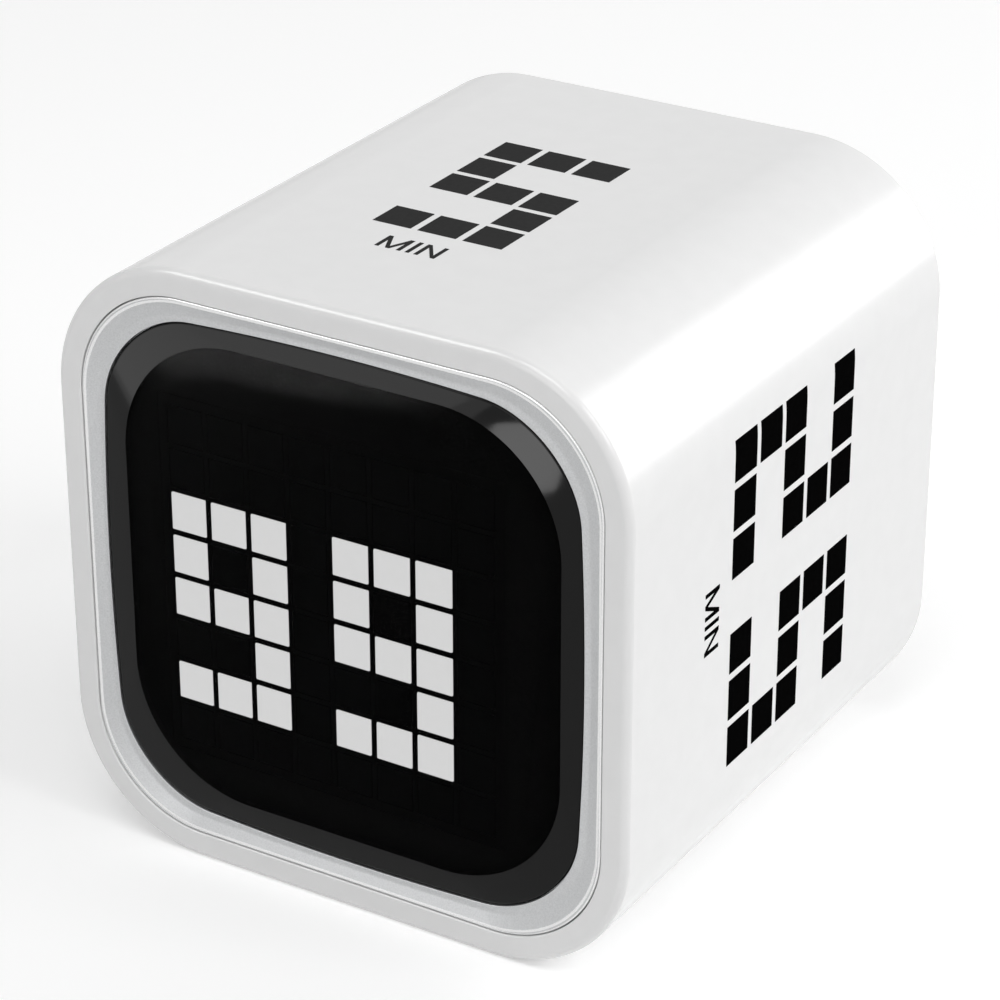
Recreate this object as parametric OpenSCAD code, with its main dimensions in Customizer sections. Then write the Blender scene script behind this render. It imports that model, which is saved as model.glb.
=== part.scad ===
// Cube countdown timer: a white moulded sleeve with a dark display window in front, pixel numerals
// on its four sides and a recessed control cover behind. Turning the cube chooses the time.
// Millimetres. +Z is up and +Y is to the back. The origin is the middle of the face it stands on.
// Depths are measured from the front rim, towards the back.

/* [Cube] */
// Edge length of the cube
cube_size = 60; // [57:1:72]
// Radius of the four long edges
corner_r = 14; // [10:0.5:18]
// Wall of the sleeve
wall = 2.6; // [2:0.1:3.2]
// Fillet on the outer edge of the front rim
front_fillet = 0.8; // [0.3:0.1:1.4]
// Fillet on the outer edge of the rear rim
rear_fillet = 0.4; // [0.2:0.1:1.2]

/* [Silver frame] */
// Gap between the frame and the sleeve
bezel_gap = 0.15; // [0.05:0.05:0.3]
// Depth of the frame's front edge behind the rim
bezel_recess = 0.1; // [0:0.05:0.4]
// Width of the frame beside the window
bezel_band = 1.85; // [1.5:0.05:3]
// Chamfer on the outer edge of the frame
bezel_chamfer = 0.25; // [0.1:0.05:0.5]
// Width of the slope that leads to the window
bezel_slope_w = 1.2; // [0.6:0.1:1.3]
// Drop of that slope
bezel_slope_drop = 0.5; // [0.2:0.1:0.8]
// Depth of the ledge that the frame seats on
ledge_depth = 3.6; // [3:0.1:5]
// Reach of the ledge into the sleeve
ledge_w = 2.2; // [1.6:0.1:2.6]
// Thickness of the ledge
ledge_t = 1.6; // [1.2:0.1:2.4]
// Width of each of the four clips
clip_w = 8; // [5:0.5:12]
// Thickness of a clip's arm
clip_t = 0.9; // [0.7:0.1:1.2]
// Catch of a clip behind the ledge
clip_catch = 0.6; // [0.4:0.1:1]
// Depth of a clip's nose
clip_nose = 1.2; // [0.8:0.1:2]

/* [Window] */
// Corner radius of the window
lens_corner_r = 12.5; // [9:0.5:15]
// Gap around the window
lens_gap = 0.1; // [0.05:0.05:0.2]
// Depth of the window's face behind the rim
lens_recess = 0.1; // [0.05:0.05:0.5]
// Thickness of the window
lens_t = 0.9; // [0.8:0.05:2]
// Width of the window's bevel
lens_bevel_w = 2.4; // [1:0.1:3]
// Drop of the window's bevel
lens_bevel_drop = 0.4; // [0.2:0.05:0.8]
// Thickness of the adhesive behind the window
lens_tape_t = 0.15; // [0.1:0.05:0.3]
// Space left free at the outer edge of that adhesive
lens_tape_inset = 0.4; // [0.2:0.1:1]

/* [Display] */
// Pixels along each side of the display
pixel_rows = 8; // [7:1:8]
// Distance between pixels
pixel_pitch = 4.38; // [3.8:0.01:4.5]
// Side of one lit square
pixel_side = 3.8; // [3:0.05:4]
// Sideways place of the display on the front
display_x = -1.25; // [-1.5:0.05:1.5]
// Height of the display above the middle of the front
display_z = -0.9; // [-1.5:0.05:1.5]
// Border of the mask around the pixels
mask_border = 0.7; // [0.5:0.1:1.2]
// Gap between the mask and the window behind which it stands
mask_front_gap = 0.05; // [0.02:0.01:0.1]
// Gap around the mask and around each pixel in it
mask_gap = 0.05; // [0.03:0.01:0.1]
// Flange of the light guide beyond the mask
guide_flange = 0.8; // [0.5:0.1:1.2]
// Thickness of the light guide's web
guide_web = 0.5; // [0.4:0.1:0.8]
// Thickness of the reflector
reflector_t = 2; // [1.5:0.1:3]
// Walls between the reflector's cells
reflector_wall = 0.6; // [0.5:0.1:1.2]
// Side of an LED
led_side = 2; // [1.6:0.1:2.4]
// Height of an LED
led_t = 0.8; // [0.5:0.1:1]
// Thickness of the LED board
led_board_t = 1.2; // [0.8:0.1:1.6]
// Radius of the bosses that hold the LED board
led_boss_r = 1.6; // [1.5:0.1:2]
// Half the distance between the two bosses on one side
led_boss_z = 12; // [8:0.5:14]
// Gap between the bosses and the light guide
led_boss_gap = 0.2; // [0.1:0.05:0.4]

/* [Rear cover] */
// Depth of the cover inside the rear rim
cover_recess = 1.2; // [1:0.1:2]
// Thickness of the cover
cover_t = 2; // [1.6:0.1:2.6]
// Chamfer on the cover's outer edge
cover_chamfer = 0.3; // [0.1:0.1:0.6]
// Radius of the sleeve's screw bosses
boss_r = 3.2; // [2.8:0.1:3.6]
// Length of the sleeve's screw bosses
boss_l = 22; // [16:1:28]
// Overlap of a boss with the corner of the sleeve
boss_bite = 0.3; // [0.1:0.05:0.6]
// Radius of the posts that carry the main board
post_r = 2.2; // [2:0.1:2.6]
// Distance of those posts from the side walls of the sleeve
post_x = 5.4; // [5.4:0.1:7.4]
// Distance of those posts from the upper and lower walls of the sleeve
post_z = 12.4; // [11.9:0.1:12.9]

/* [Buttons] */
// Side of a button
button_side = 8.4; // [7:0.1:10]
// Corner radius of a button
button_r = 2.2; // [1:0.1:3]
// Distance between buttons
button_pitch = 14; // [12.5:0.5:15]
// Height of the buttons above the middle of the cover
button_z = 8; // [7:0.5:9]
// Height of a button above the cover
button_proud = 0.7; // [0.5:0.1:0.8]
// Gap around a button
button_gap = 0.2; // [0.15:0.05:0.3]
// Width of the flange that keeps a button in
button_flange_w = 0.9; // [0.6:0.1:1.2]
// Thickness of that flange
button_flange_t = 0.8; // [0.6:0.1:1.2]
// Free play under the cover
button_play = 0.1; // [0.05:0.05:0.2]
// Travel of a button
button_travel = 0.5; // [0.2:0.05:0.6]
// Depth of the symbols sunk into the buttons
symbol_t = 0.2; // [0.1:0.05:0.3]
// Length of a symbol
symbol_l = 3.2; // [2.4:0.1:4]
// Stroke of a symbol
symbol_w = 0.7; // [0.5:0.1:1]
// Side of a tact switch
tact_side = 6; // [5:0.1:6.5]
// Height of a tact switch
tact_h = 3.5; // [3:0.1:4]
// Radius of a tact switch's plunger
plunger_r = 1.6; // [1.2:0.1:2]
// Height of the plunger above its switch
plunger_proud = 1; // [0.7:0.1:1.4]
// Length of the plunger inside its switch
plunger_in = 0.9; // [0.6:0.1:1.2]
// Gap around a plunger
plunger_gap = 0.1; // [0.05:0.01:0.15]

/* [Power switch] */
// Sideways place of the power switch
slide_x = -12; // [-13:0.5:-11]
// Height of the power switch above the middle of the cover
slide_z = -7; // [-8:0.5:-6]
// Travel of the knob
slide_travel = 3; // [2:0.5:3.5]
// Length of the knob
knob_l = 5; // [4:0.1:6]
// Width of the knob
knob_w = 2.8; // [2.2:0.1:3.2]
// Height of the knob above the cover
knob_proud = 0.7; // [0.4:0.1:0.8]
// Ridges across the knob
knob_ridges = 3; // [2:1:4]
// Width and depth of the grooves between those ridges
knob_groove = 0.4; // [0.2:0.05:0.5]
// Gap around the knob
knob_gap = 0.25; // [0.15:0.05:0.4]
// Thickness of the shutter behind the slot
shutter_t = 0.7; // [0.5:0.1:1]
// Overlap of the shutter with the cover
shutter_lap = 0.8; // [0.5:0.1:1.2]
// Side of the lever in the switch
lever_side = 1.6; // [1.2:0.1:2]
// Length of the lever inside the switch
lever_in = 1; // [0.6:0.1:1.2]
// Height of the switch body
slide_h = 3.4; // [3:0.1:3.8]
// Wall of the switch body around its lever
slide_wall = 1.2; // [0.8:0.1:1.6]

/* [Charging socket] */
// Width of the socket's shell
usb_w = 8.94; // [8.9:0.01:9]
// Height of the socket's shell
usb_h = 3.26; // [3.2:0.01:3.3]
// Wall of the shell
usb_wall = 0.3; // [0.2:0.05:0.35]
// Height of the socket above the middle of the cover
usb_z = -18; // [-19:0.5:-16]
// Gap between the shell and the cover
usb_gap = 0.2; // [0.1:0.05:0.4]
// Depth of the shell's mouth behind the cover's face
usb_recess = 0.3; // [0.1:0.1:0.6]
// Thickness of the insulator at the shell's foot
usb_base = 1.5; // [1:0.1:2]
// Width of the contact tongue
tongue_w = 6.7; // [6.4:0.05:6.8]
// Thickness of the contact tongue
tongue_t = 0.7; // [0.6:0.05:0.8]
// Depth of the tongue's tip inside the mouth
tongue_recess = 1.3; // [1:0.1:2]

/* [Buzzer] */
// Radius of the buzzer
buzzer_r = 6; // [5:0.1:6.2]
// Height of the buzzer
buzzer_h = 5.2; // [4:0.1:5.6]
// Sideways place of the buzzer
buzzer_x = 13; // [12.5:0.5:13.5]
// Height of the buzzer above the middle of the cover
buzzer_z = -7; // [-8:0.5:-6]
// Radius of the buzzer's sound hole
buzzer_hole_r = 1; // [0.6:0.1:1.4]
// Depth of that hole
buzzer_hole_t = 1; // [0.5:0.1:1.5]
// Width of the gasket ring
gasket_w = 1.8; // [1.2:0.1:2.4]
// Radius of a grille hole
grille_hole_r = 0.6; // [0.4:0.05:0.8]
// Holes in the ring of the grille
grille_holes = 6; // [5:1:8]
// Radius of that ring
grille_r = 2.4; // [2:0.1:3]

/* [Main board] */
// Thickness of the main board
main_board_t = 1.6; // [1:0.1:2]
// Space between the main board and the cover
board_space = 6.8; // [6.6:0.1:8]
// Gap between the main board and the sleeve
board_gap = 1; // [0.5:0.1:1.5]
// Side of the controller chip
mcu_side = 7; // [5:0.5:9]
// Height of the controller chip
mcu_t = 0.9; // [0.7:0.1:1.4]
// Sideways place of the controller chip
mcu_x = -8; // [-9:0.5:-7]
// Height of the controller chip above the middle
mcu_z = 3; // [2:0.5:4]
// Side of the motion sensor
sensor_side = 3; // [2:0.1:4]
// Height of the motion sensor
sensor_t = 1; // [0.7:0.1:1.2]
// Sideways place of the motion sensor
sensor_x = 8; // [7:0.5:9]
// Height of the motion sensor above the middle
sensor_z = 3; // [2:0.5:4]
// Length of the charger chip
charger_l = 4.9; // [4:0.1:6]
// Width of the charger chip
charger_w = 3.9; // [3:0.1:5]
// Height of the charger chip
charger_t = 1.5; // [1:0.1:1.8]
// Sideways place of the charger chip
charger_x = 9; // [8:0.5:10]
// Height of the charger chip above the middle
charger_z = -8; // [-9:0.5:-7]

/* [Ribbon cable] */
// Width of the ribbon cable
ribbon_w = 8; // [6:0.5:10]
// Thickness of the ribbon cable
ribbon_t = 0.3; // [0.2:0.05:0.5]
// Sag of the ribbon cable
ribbon_sag = 4; // [2:0.5:5]
// Height of the ribbon cable's ends above the middle
ribbon_z = 14; // [12:0.5:15]
// Connector beyond each edge of the ribbon cable
connector_side = 1.5; // [1:0.1:2]
// Width of a connector
connector_w = 4.4; // [3.6:0.1:5]
// Height of a connector above its board
connector_h = 2.2; // [1.6:0.1:3]

/* [Battery] */
// Width of the battery
battery_w = 30; // [24:1:34]
// Length of the battery, front to back
battery_l = 26; // [20:1:26]
// Height of the battery
battery_h = 10; // [6:0.5:11]
// Edge radius of the battery
battery_r = 2; // [1:0.1:3]
// Thickness of the adhesive under the battery
battery_tape_t = 0.3; // [0.3:0.1:0.8]
// Side of that adhesive
battery_tape_side = 18; // [12:1:20]
// Radius of a lead
lead_r = 0.55; // [0.4:0.05:0.7]
// Distance between the two leads
lead_pitch = 2; // [1.6:0.1:2.5]
// Straight run of a lead out of the battery
lead_straight = 1.5; // [1:0.1:2.5]
// Bend radius of a lead
lead_bend = 1.8; // [1.4:0.1:2.5]
// Height of the leads above the foot of the battery
lead_z = 7; // [4.5:0.1:7.5]
// Sideways place of the battery socket
socket_x = -9; // [-10:0.5:-8]
// Height of the socket's mouth below the middle
socket_drop = 11; // [10:0.5:12]
// Width of the socket
socket_w = 7.8; // [7.4:0.1:9]
// Depth of the socket, out from the board
socket_d = 4.8; // [4.6:0.1:6]
// Height of the socket
socket_h = 6; // [5.5:0.1:8]
// Width of the plug
plug_w = 5.8; // [5:0.1:6]
// Depth of the plug, out from the board
plug_d = 3.2; // [2.8:0.1:3.4]
// Length of the plug inside its socket
plug_in = 4.4; // [3:0.1:5]
// Length of the plug outside its socket
plug_out = 2; // [1.5:0.1:3]
// Gap around the plug
plug_gap = 0.1; // [0.05:0.05:0.2]

/* [Numerals] */
// Distance between the squares of a numeral
print_pitch = 4.78; // [4:0.02:5]
// Side of one square
print_side = 4.08; // [3.2:0.02:4.2]
// Depth of the black inlay
print_t = 0.2; // [0.1:0.05:0.4]
// Place of the numerals across their side
print_x = -1.2; // [-3:0.1:3]
// Place of the numerals along their side
print_y = -0.1; // [-3:0.1:3]
// Extra place of the top numeral along its side
print_top_y = 0.8; // [-3:0.1:3]
// Distance from a numeral's middle to the middle of its unit word
unit_drop = 15.2; // [14.5:0.1:17]
// Place of the unit word across its numeral
unit_x = -0.3; // [-1:0.1:1]
// Letter height of the unit word
unit_h = 2.6; // [2:0.1:3.2]
// Stroke of the unit word
unit_stroke = 0.42; // [0.25:0.01:0.5]
// Width of the unit word's first letter
unit_m_w = 2.7; // [2:0.05:3]
// Width of the unit word's last letter
unit_n_w = 2.15; // [1.5:0.05:2.4]
// Space between letters
unit_space = 0.5; // [0.4:0.05:1]

/* [Screws] */
// Shank radius of the cover screws
cover_screw_r = 0.95; // [0.8:0.05:1.1]
// Length of the cover screws under the head
cover_screw_l = 10; // [8:0.5:14]
// Head radius of the cover screws
cover_head_r = 1.8; // [1.5:0.1:2]
// Head height of the cover screws
cover_head_h = 0.9; // [0.7:0.1:1.2]
// Shank radius of the board screws
small_screw_r = 0.7; // [0.6:0.05:0.8]
// Length of the main board's screws under the head
board_screw_l = 5.5; // [4:0.5:6]
// Length of the LED board's screws under the head
display_screw_l = 4; // [3:0.5:4.5]
// Head radius of the board screws
small_head_r = 1.3; // [1.1:0.1:1.5]
// Head height of the board screws
small_head_h = 0.9; // [0.6:0.1:1.1]
// Gap between a shank and its pilot hole
pilot_gap = 0.05; // [0.02:0.01:0.1]
// Gap between a shank and the hole it passes
pass_gap = 0.2; // [0.1:0.05:0.3]
// Gap around a sunk screw head
head_gap = 0.2; // [0.1:0.05:0.3]
// Space past the tip of a screw
tip_space = 0.4; // [0.2:0.1:1]
// Width of the cross in a screw head
cross_w = 0.4; // [0.3:0.05:0.5]
// Depth of the cross in a screw head
cross_t = 0.5; // [0.3:0.05:0.6]
// Share of a screw head's width that its cross spans
cross_span = 0.6; // [0.4:0.05:0.8]

/* [Hidden] */

// Segments of a full circle
$fn = 96;
// Overshoot of a cut past the face that it opens
cut = 1;

half = cube_size / 2;

// Inside of the sleeve
inner_half = half - wall;
inner_r = corner_r - wall;
ledge_half = inner_half - ledge_w;
ledge_back = ledge_depth + ledge_t;

// Silver frame and window
bezel_half = inner_half - bezel_gap;
bezel_r = inner_r - bezel_gap;
bezel_floor = bezel_recess + bezel_slope_drop;
bezel_ring = bezel_chamfer + bezel_slope_w;
lens_half = bezel_half - bezel_band;
lens_back = lens_recess + lens_t;
lens_seat = lens_back + lens_tape_t;

// Display, from the mask to the LED board
pixel_field = pixel_rows * pixel_pitch;
mask_half = pixel_field / 2 + mask_border;
window_half = mask_half + mask_gap;
mask_front = lens_back + mask_front_gap;
guide_half = mask_half + guide_flange;
guide_back = ledge_depth + guide_web;
led_board_front = guide_back + reflector_t;
led_board_back = led_board_front + led_board_t;
led_boss_x = guide_half + led_boss_gap + led_boss_r;
led_board_w = 2 * (led_boss_x + led_boss_r);
led_board_h = 2 * guide_half;
display_pilot = led_board_back - display_screw_l - tip_space;

// Rear, from the cover to the main board
cover_face = cube_size - cover_recess;
cover_inside = cover_face - cover_t;
board_back = cover_inside - board_space;
board_front = board_back - main_board_t;
boss_place = half - corner_r + (inner_r - boss_r + boss_bite) / sqrt(2);
cover_head_seat = cover_face - cover_head_h - pilot_gap;
button_flange_back = cover_inside - button_play;
button_flange_front = button_flange_back - button_flange_t;
button_flange_side = button_side + 2 * button_flange_w;
button_top = cover_face + button_proud;
tact_top = board_back + tact_h;
plunger_top = tact_top + plunger_proud;

// Power slide, drawn in its ON place at the end of its slot
slot_l = knob_l + slide_travel + 2 * knob_gap;
slot_w = knob_w + 2 * knob_gap;
knob_x = slide_x + slide_travel / 2;
shutter_back = cover_inside - button_play;
shutter_front = shutter_back - shutter_t;
shutter_l = slot_l + slide_travel + 2 * shutter_lap;
shutter_w = slot_w + 2 * shutter_lap;
slide_top = board_back + slide_h;
lever_slot_l = lever_side + slide_travel + 2 * knob_gap;
lever_slot_w = lever_side + 2 * knob_gap;

usb_mouth = cover_face - usb_recess;
buzzer_top = board_back + buzzer_h;

// Battery and its leads
battery_foot = wall + battery_tape_t;
plug_place = board_front - socket_d / 2;
battery_back = plug_place - lead_bend - lead_straight;
battery_front = battery_back - battery_l;
lead_height = battery_foot + lead_z;
socket_mouth = half - socket_drop;
plug_foot = socket_mouth - plug_out;

// Ribbon cable: an arc between its two connectors
ribbon_start = led_board_back + connector_h;
ribbon_end = board_front - connector_h;
ribbon_span = ribbon_end - ribbon_start;
ribbon_arc_r = (pow(ribbon_span / 2, 2) + pow(ribbon_sag, 2)) / (2 * ribbon_sag);
connector_l = ribbon_w + 2 * connector_side;

// Pixel digits, row by row from the top
DIGITS = [
    ["111", "101", "101", "101", "111"],
    ["010", "110", "010", "010", "111"],
    ["111", "001", "111", "100", "111"],
    ["111", "001", "111", "001", "111"],
    ["101", "101", "111", "001", "001"],
    ["111", "100", "111", "001", "111"]
];
digit_rows = 5;
digit_columns = 3;

// Numerals of the top, right, bottom and left side, and how far each is moved along its side
side_digits = [[5], [2, 5], [1, 0], [5, 0]];
side_shift = [print_top_y, 0, 0, 0];

// Moves to the front face: X to the right, Y to the back, Z up from the middle of the face
module from_front() {
    translate([0, -half, half]) children();
}

// Four copies, a quarter turn apart around the front-to-back axis
module quarter_turns() {
    for (turn = [0 : 3]) rotate([0, 90 * turn, 0]) children();
}

// Places a shape at the four points (x, z) of a rectangle
module four_points(x, z) {
    for (side = [-1, 1], level = [-1, 1]) translate([side * x, 0, level * z]) children();
}

// Sweeps a profile around a rounded square. The profile's x is its distance from the centre of the
// corner arcs, and its y is its depth.
module around(outline_half, outline_r) {
    straight = outline_half - outline_r;
    quarter_turns() {
        translate([straight, 0, 0]) linear_extrude(2 * straight, center = true) children();
        translate([straight, 0, -straight]) rotate([-90, 0, 0]) rotate_extrude(angle = 90) children();
    }
}

// Flat rounded rectangle
module rounded_rectangle(w, h, r) {
    square([w, h - 2 * r], center = true);
    square([w - 2 * r, h], center = true);
    for (x = [-1, 1], y = [-1, 1]) translate([x * (w / 2 - r), y * (h / 2 - r)]) circle(r);
}

module rounded_square(outline_half, r) {
    rounded_rectangle(2 * outline_half, 2 * outline_half, r);
}

// Slot with round ends
module slot(w, h) {
    square([w - h, h], center = true);
    for (x = [-1, 1]) translate([x * (w - h) / 2, 0]) circle(h / 2);
}

// Extrudes a flat shape on the front face between two depths
module deep(front, back) {
    translate([0, back, 0]) rotate([90, 0, 0]) linear_extrude(back - front) children();
}

// Round bar between two depths
module deep_round(front, back, r) {
    translate([0, front, 0]) rotate([-90, 0, 0]) cylinder(h = back - front, r = r);
}

// Block between two depths
module deep_block(w, h, front, back) {
    deep(front, back) square([w, h], center = true);
}

// Every cell of the display
module each_pixel() {
    first = -(pixel_rows - 1) * pixel_pitch / 2;
    for (column = [0 : pixel_rows - 1], row = [0 : pixel_rows - 1])
        translate([first + column * pixel_pitch, 0, first + row * pixel_pitch]) children();
}

module at_display() {
    from_front() translate([display_x, 0, display_z]) children();
}

module at_led_bosses() {
    at_display() four_points(led_boss_x, led_boss_z) children();
}

module at_cover_screws() {
    from_front() four_points(boss_place, boss_place) children();
}

module at_posts() {
    from_front() four_points(inner_half - post_x, inner_half - post_z) children();
}

module at_button(place) {
    from_front() translate([place * button_pitch, 0, button_z]) children();
}

// Cross recess sunk into a head whose top lies at a depth
module cross_recess(top, head_r) {
    for (turn = [0, 90])
        translate([0, top, 0]) rotate([0, turn, 0])
            cube([2 * head_r * cross_span, 2 * cross_t, cross_w], center = true);
}

// Rounds off the outer corner of the sleeve's wall at its front or rear rim
module rim_fillet_cut(fillet) {
    translate([corner_r - fillet, 0]) difference() {
        square(fillet + cut);
        translate([0, fillet]) circle(fillet);
        translate([0, fillet]) square(fillet + cut);
    }
}

module sleeve_profile() {
    difference() {
        translate([inner_r, 0]) square([wall, cube_size]);
        rim_fillet_cut(front_fillet);
        translate([0, cube_size]) mirror([0, 1]) rim_fillet_cut(rear_fillet);
    }
}

module ledge_profile() {
    translate([inner_r - ledge_w, ledge_depth]) square([ledge_w + wall / 2, ledge_t]);
}

// Moves to one of the four long sides: X across the side, Y to the back, Z out of it
module on_side(turn) {
    translate([0, 0, half]) rotate([0, 90 * turn, 0]) translate([print_x, print_y, half]) children();
}

// Squares of one pixel digit, centred
module digit(value) {
    for (row = [0 : digit_rows - 1], column = [0 : digit_columns - 1])
        if (DIGITS[value][row][column] == "1")
            translate([
                (column - (digit_columns - 1) / 2) * print_pitch,
                ((digit_rows - 1) / 2 - row) * print_pitch
            ])
                square(print_side, center = true);
}

// Letter M: two uprights and two slants that meet at its foot
module letter_m(w) {
    slant = (w - unit_stroke) / 2;
    fork = unit_h * unit_stroke / (2 * slant);
    armpit = unit_h * (1 - unit_stroke / slant);
    polygon([
        [0, 0], [0, unit_h], [unit_stroke, unit_h],
        [w / 2, fork],
        [w - unit_stroke, unit_h], [w, unit_h], [w, 0], [w - unit_stroke, 0],
        [w - unit_stroke, armpit], [slant + unit_stroke, 0], [slant, 0], [unit_stroke, armpit],
        [unit_stroke, 0]
    ]);
}

// Letter N: two uprights and one slant between them
module letter_n(w) {
    slant = w - unit_stroke;
    armpit = unit_h * unit_stroke / slant;
    polygon([
        [0, 0], [0, unit_h], [unit_stroke, unit_h],
        [slant, armpit], [slant, unit_h], [w, unit_h], [w, 0], [slant, 0],
        [unit_stroke, unit_h - armpit], [unit_stroke, 0]
    ]);
}

// The unit word for minutes, in plain strokes, centred
module unit_word() {
    i_x = unit_m_w + unit_space;
    n_x = i_x + unit_stroke + unit_space;
    word_w = n_x + unit_n_w;
    translate([-word_w / 2, -unit_h / 2]) {
        letter_m(unit_m_w);
        translate([i_x, 0]) square([unit_stroke, unit_h]);
        translate([n_x, 0]) letter_n(unit_n_w);
    }
}

// A numeral of one or two digits with its unit word under it
module numeral(digits) {
    digit_step = (digit_columns + 1) * print_pitch;
    for (i = [0 : len(digits) - 1])
        translate([(i - (len(digits) - 1) / 2) * digit_step, 0]) digit(digits[i]);
    translate([unit_x, -unit_drop]) unit_word();
}

// A numeral as deep as its inlay. The rise takes it past the face of its side.
module numeral_block(turn, rise) {
    on_side(turn) translate([0, side_shift[turn], -print_t])
        linear_extrude(print_t + rise) numeral(side_digits[turn]);
}

// Black inlay of a numeral, trimmed flush with the outside of the sleeve
module numeral_inlay(turn) {
    color("#2b2b2b") intersection() {
        numeral_block(turn, 0);
        from_front() deep(0, cube_size) rounded_square(half, corner_r);
    }
}

module top_numeral() {
    numeral_inlay(0);
}

module right_numeral() {
    numeral_inlay(1);
}

module bottom_numeral() {
    numeral_inlay(2);
}

module left_numeral() {
    numeral_inlay(3);
}

// White outer sleeve with its inner ledge, its screw bosses and the pockets of the numerals
module sleeve() {
    color("#f2f2f2") difference() {
        union() {
            from_front() around(half, corner_r) sleeve_profile();
            from_front() around(half, corner_r) ledge_profile();
            at_cover_screws() deep_round(cover_inside - boss_l, cover_inside, boss_r);
        }
        at_cover_screws()
            deep_round(
                cover_head_seat - cover_screw_l - tip_space,
                cover_inside + cut,
                cover_screw_r + pilot_gap
            );
        for (turn = [0 : 3]) numeral_block(turn, cut);
    }
}

// Silver frame: a sloped ring, a floor behind the window, four clips and four bosses
module front_bezel() {
    clip_out = ledge_half - bezel_gap;
    nose_front = ledge_back + bezel_gap;
    ring_in = bezel_r - bezel_ring - bezel_band;
    color("#c9cacc") difference() {
        union() {
            from_front() around(bezel_half, bezel_r) polygon([
                [bezel_r, ledge_depth],
                [bezel_r, bezel_recess + bezel_chamfer],
                [bezel_r - bezel_chamfer, bezel_recess],
                [bezel_r - bezel_ring, bezel_floor],
                [ring_in, bezel_floor],
                [ring_in, ledge_depth]
            ]);
            from_front() deep(bezel_floor, ledge_depth) rounded_square(lens_half, bezel_r - bezel_band);
            from_front() quarter_turns() translate([clip_out, 0, 0]) {
                translate([-clip_t, lens_seat, -clip_w / 2])
                    cube([clip_t, nose_front + clip_nose - lens_seat, clip_w]);
                translate([-clip_t, nose_front, -clip_w / 2])
                    cube([clip_t + bezel_gap + clip_catch, clip_nose, clip_w]);
            }
            at_led_bosses() deep_round(lens_seat, led_board_front, led_boss_r);
        }
        from_front() deep(-cut, lens_seat) rounded_square(lens_half + lens_gap, lens_corner_r + lens_gap);
        at_display() deep_block(2 * window_half, 2 * window_half, 0, ledge_depth + cut);
        at_led_bosses() deep_round(display_pilot, led_board_front + cut, small_screw_r + pilot_gap);
    }
}

// Smoked window with a bevelled edge
module lens() {
    core_in = lens_corner_r - lens_bevel_w;
    color("#141416") from_front() {
        around(lens_half, lens_corner_r) polygon([
            [lens_corner_r, lens_back],
            [lens_corner_r, lens_recess + lens_bevel_drop],
            [core_in, lens_recess],
            [core_in / 2, lens_recess],
            [core_in / 2, lens_back]
        ]);
        deep(lens_recess, lens_back) rounded_square(lens_half - lens_bevel_w, core_in);
    }
}

// Adhesive frame between the window and the silver frame
module lens_tape() {
    color("#1b1b1b") difference() {
        from_front() deep(lens_back, lens_seat)
            rounded_square(lens_half - lens_tape_inset, lens_corner_r - lens_tape_inset);
        at_display() deep_block(2 * window_half, 2 * window_half, 0, lens_seat + cut);
    }
}

// Black grid that frames every pixel
module pixel_mask() {
    hole = pixel_side + 2 * mask_gap;
    color("#101010") at_display() difference() {
        deep_block(2 * mask_half, 2 * mask_half, mask_front, ledge_depth);
        each_pixel() deep_block(hole, hole, 0, ledge_depth + cut);
    }
}

// Milky light guide: a web with one pad in each cell of the mask
module light_guide() {
    color("#e8e8e4") at_display() {
        deep_block(2 * guide_half, 2 * guide_half, ledge_depth, guide_back);
        each_pixel() deep_block(pixel_side, pixel_side, mask_front, ledge_depth + guide_web / 2);
    }
}

// White cell walls between the LEDs
module reflector_grid() {
    cell = pixel_pitch - reflector_wall;
    color("#f4f4f4") at_display() difference() {
        deep_block(2 * guide_half, 2 * guide_half, guide_back, led_board_front);
        each_pixel() deep_block(cell, cell, 0, led_board_front + cut);
    }
}

module led_chips() {
    color("#fff3d0") at_display() each_pixel()
        deep_block(led_side, led_side, led_board_front - led_t, led_board_front);
}

// LED board, cut clear of the frame's clips
module led_board() {
    clip_in = ledge_half - bezel_gap - clip_t - mask_gap;
    color("#1d5c38") difference() {
        at_display() deep_block(led_board_w, led_board_h, led_board_front, led_board_back);
        at_led_bosses() deep_round(0, led_board_back + cut, small_screw_r + pass_gap);
        from_front() quarter_turns() translate([clip_in, 0, -clip_w / 2 - mask_gap])
            cube([half, cube_size, clip_w + 2 * mask_gap]);
    }
}

module led_connector() {
    color("#efe9d8") from_front() translate([0, 0, ribbon_z])
        deep_block(connector_l, connector_w, led_board_back, ribbon_start);
}

// Screw that points to the front, with its head seated at a depth
module screw_to_front(seat, length, shank_r, head_r, head_h) {
    difference() {
        union() {
            deep_round(seat - length, seat + head_h / 2, shank_r);
            deep_round(seat, seat + head_h, head_r);
        }
        cross_recess(seat + head_h, head_r);
    }
}

module display_screws() {
    color("#8d9095") at_led_bosses()
        screw_to_front(led_board_back, display_screw_l, small_screw_r, small_head_r, small_head_h);
}

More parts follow.
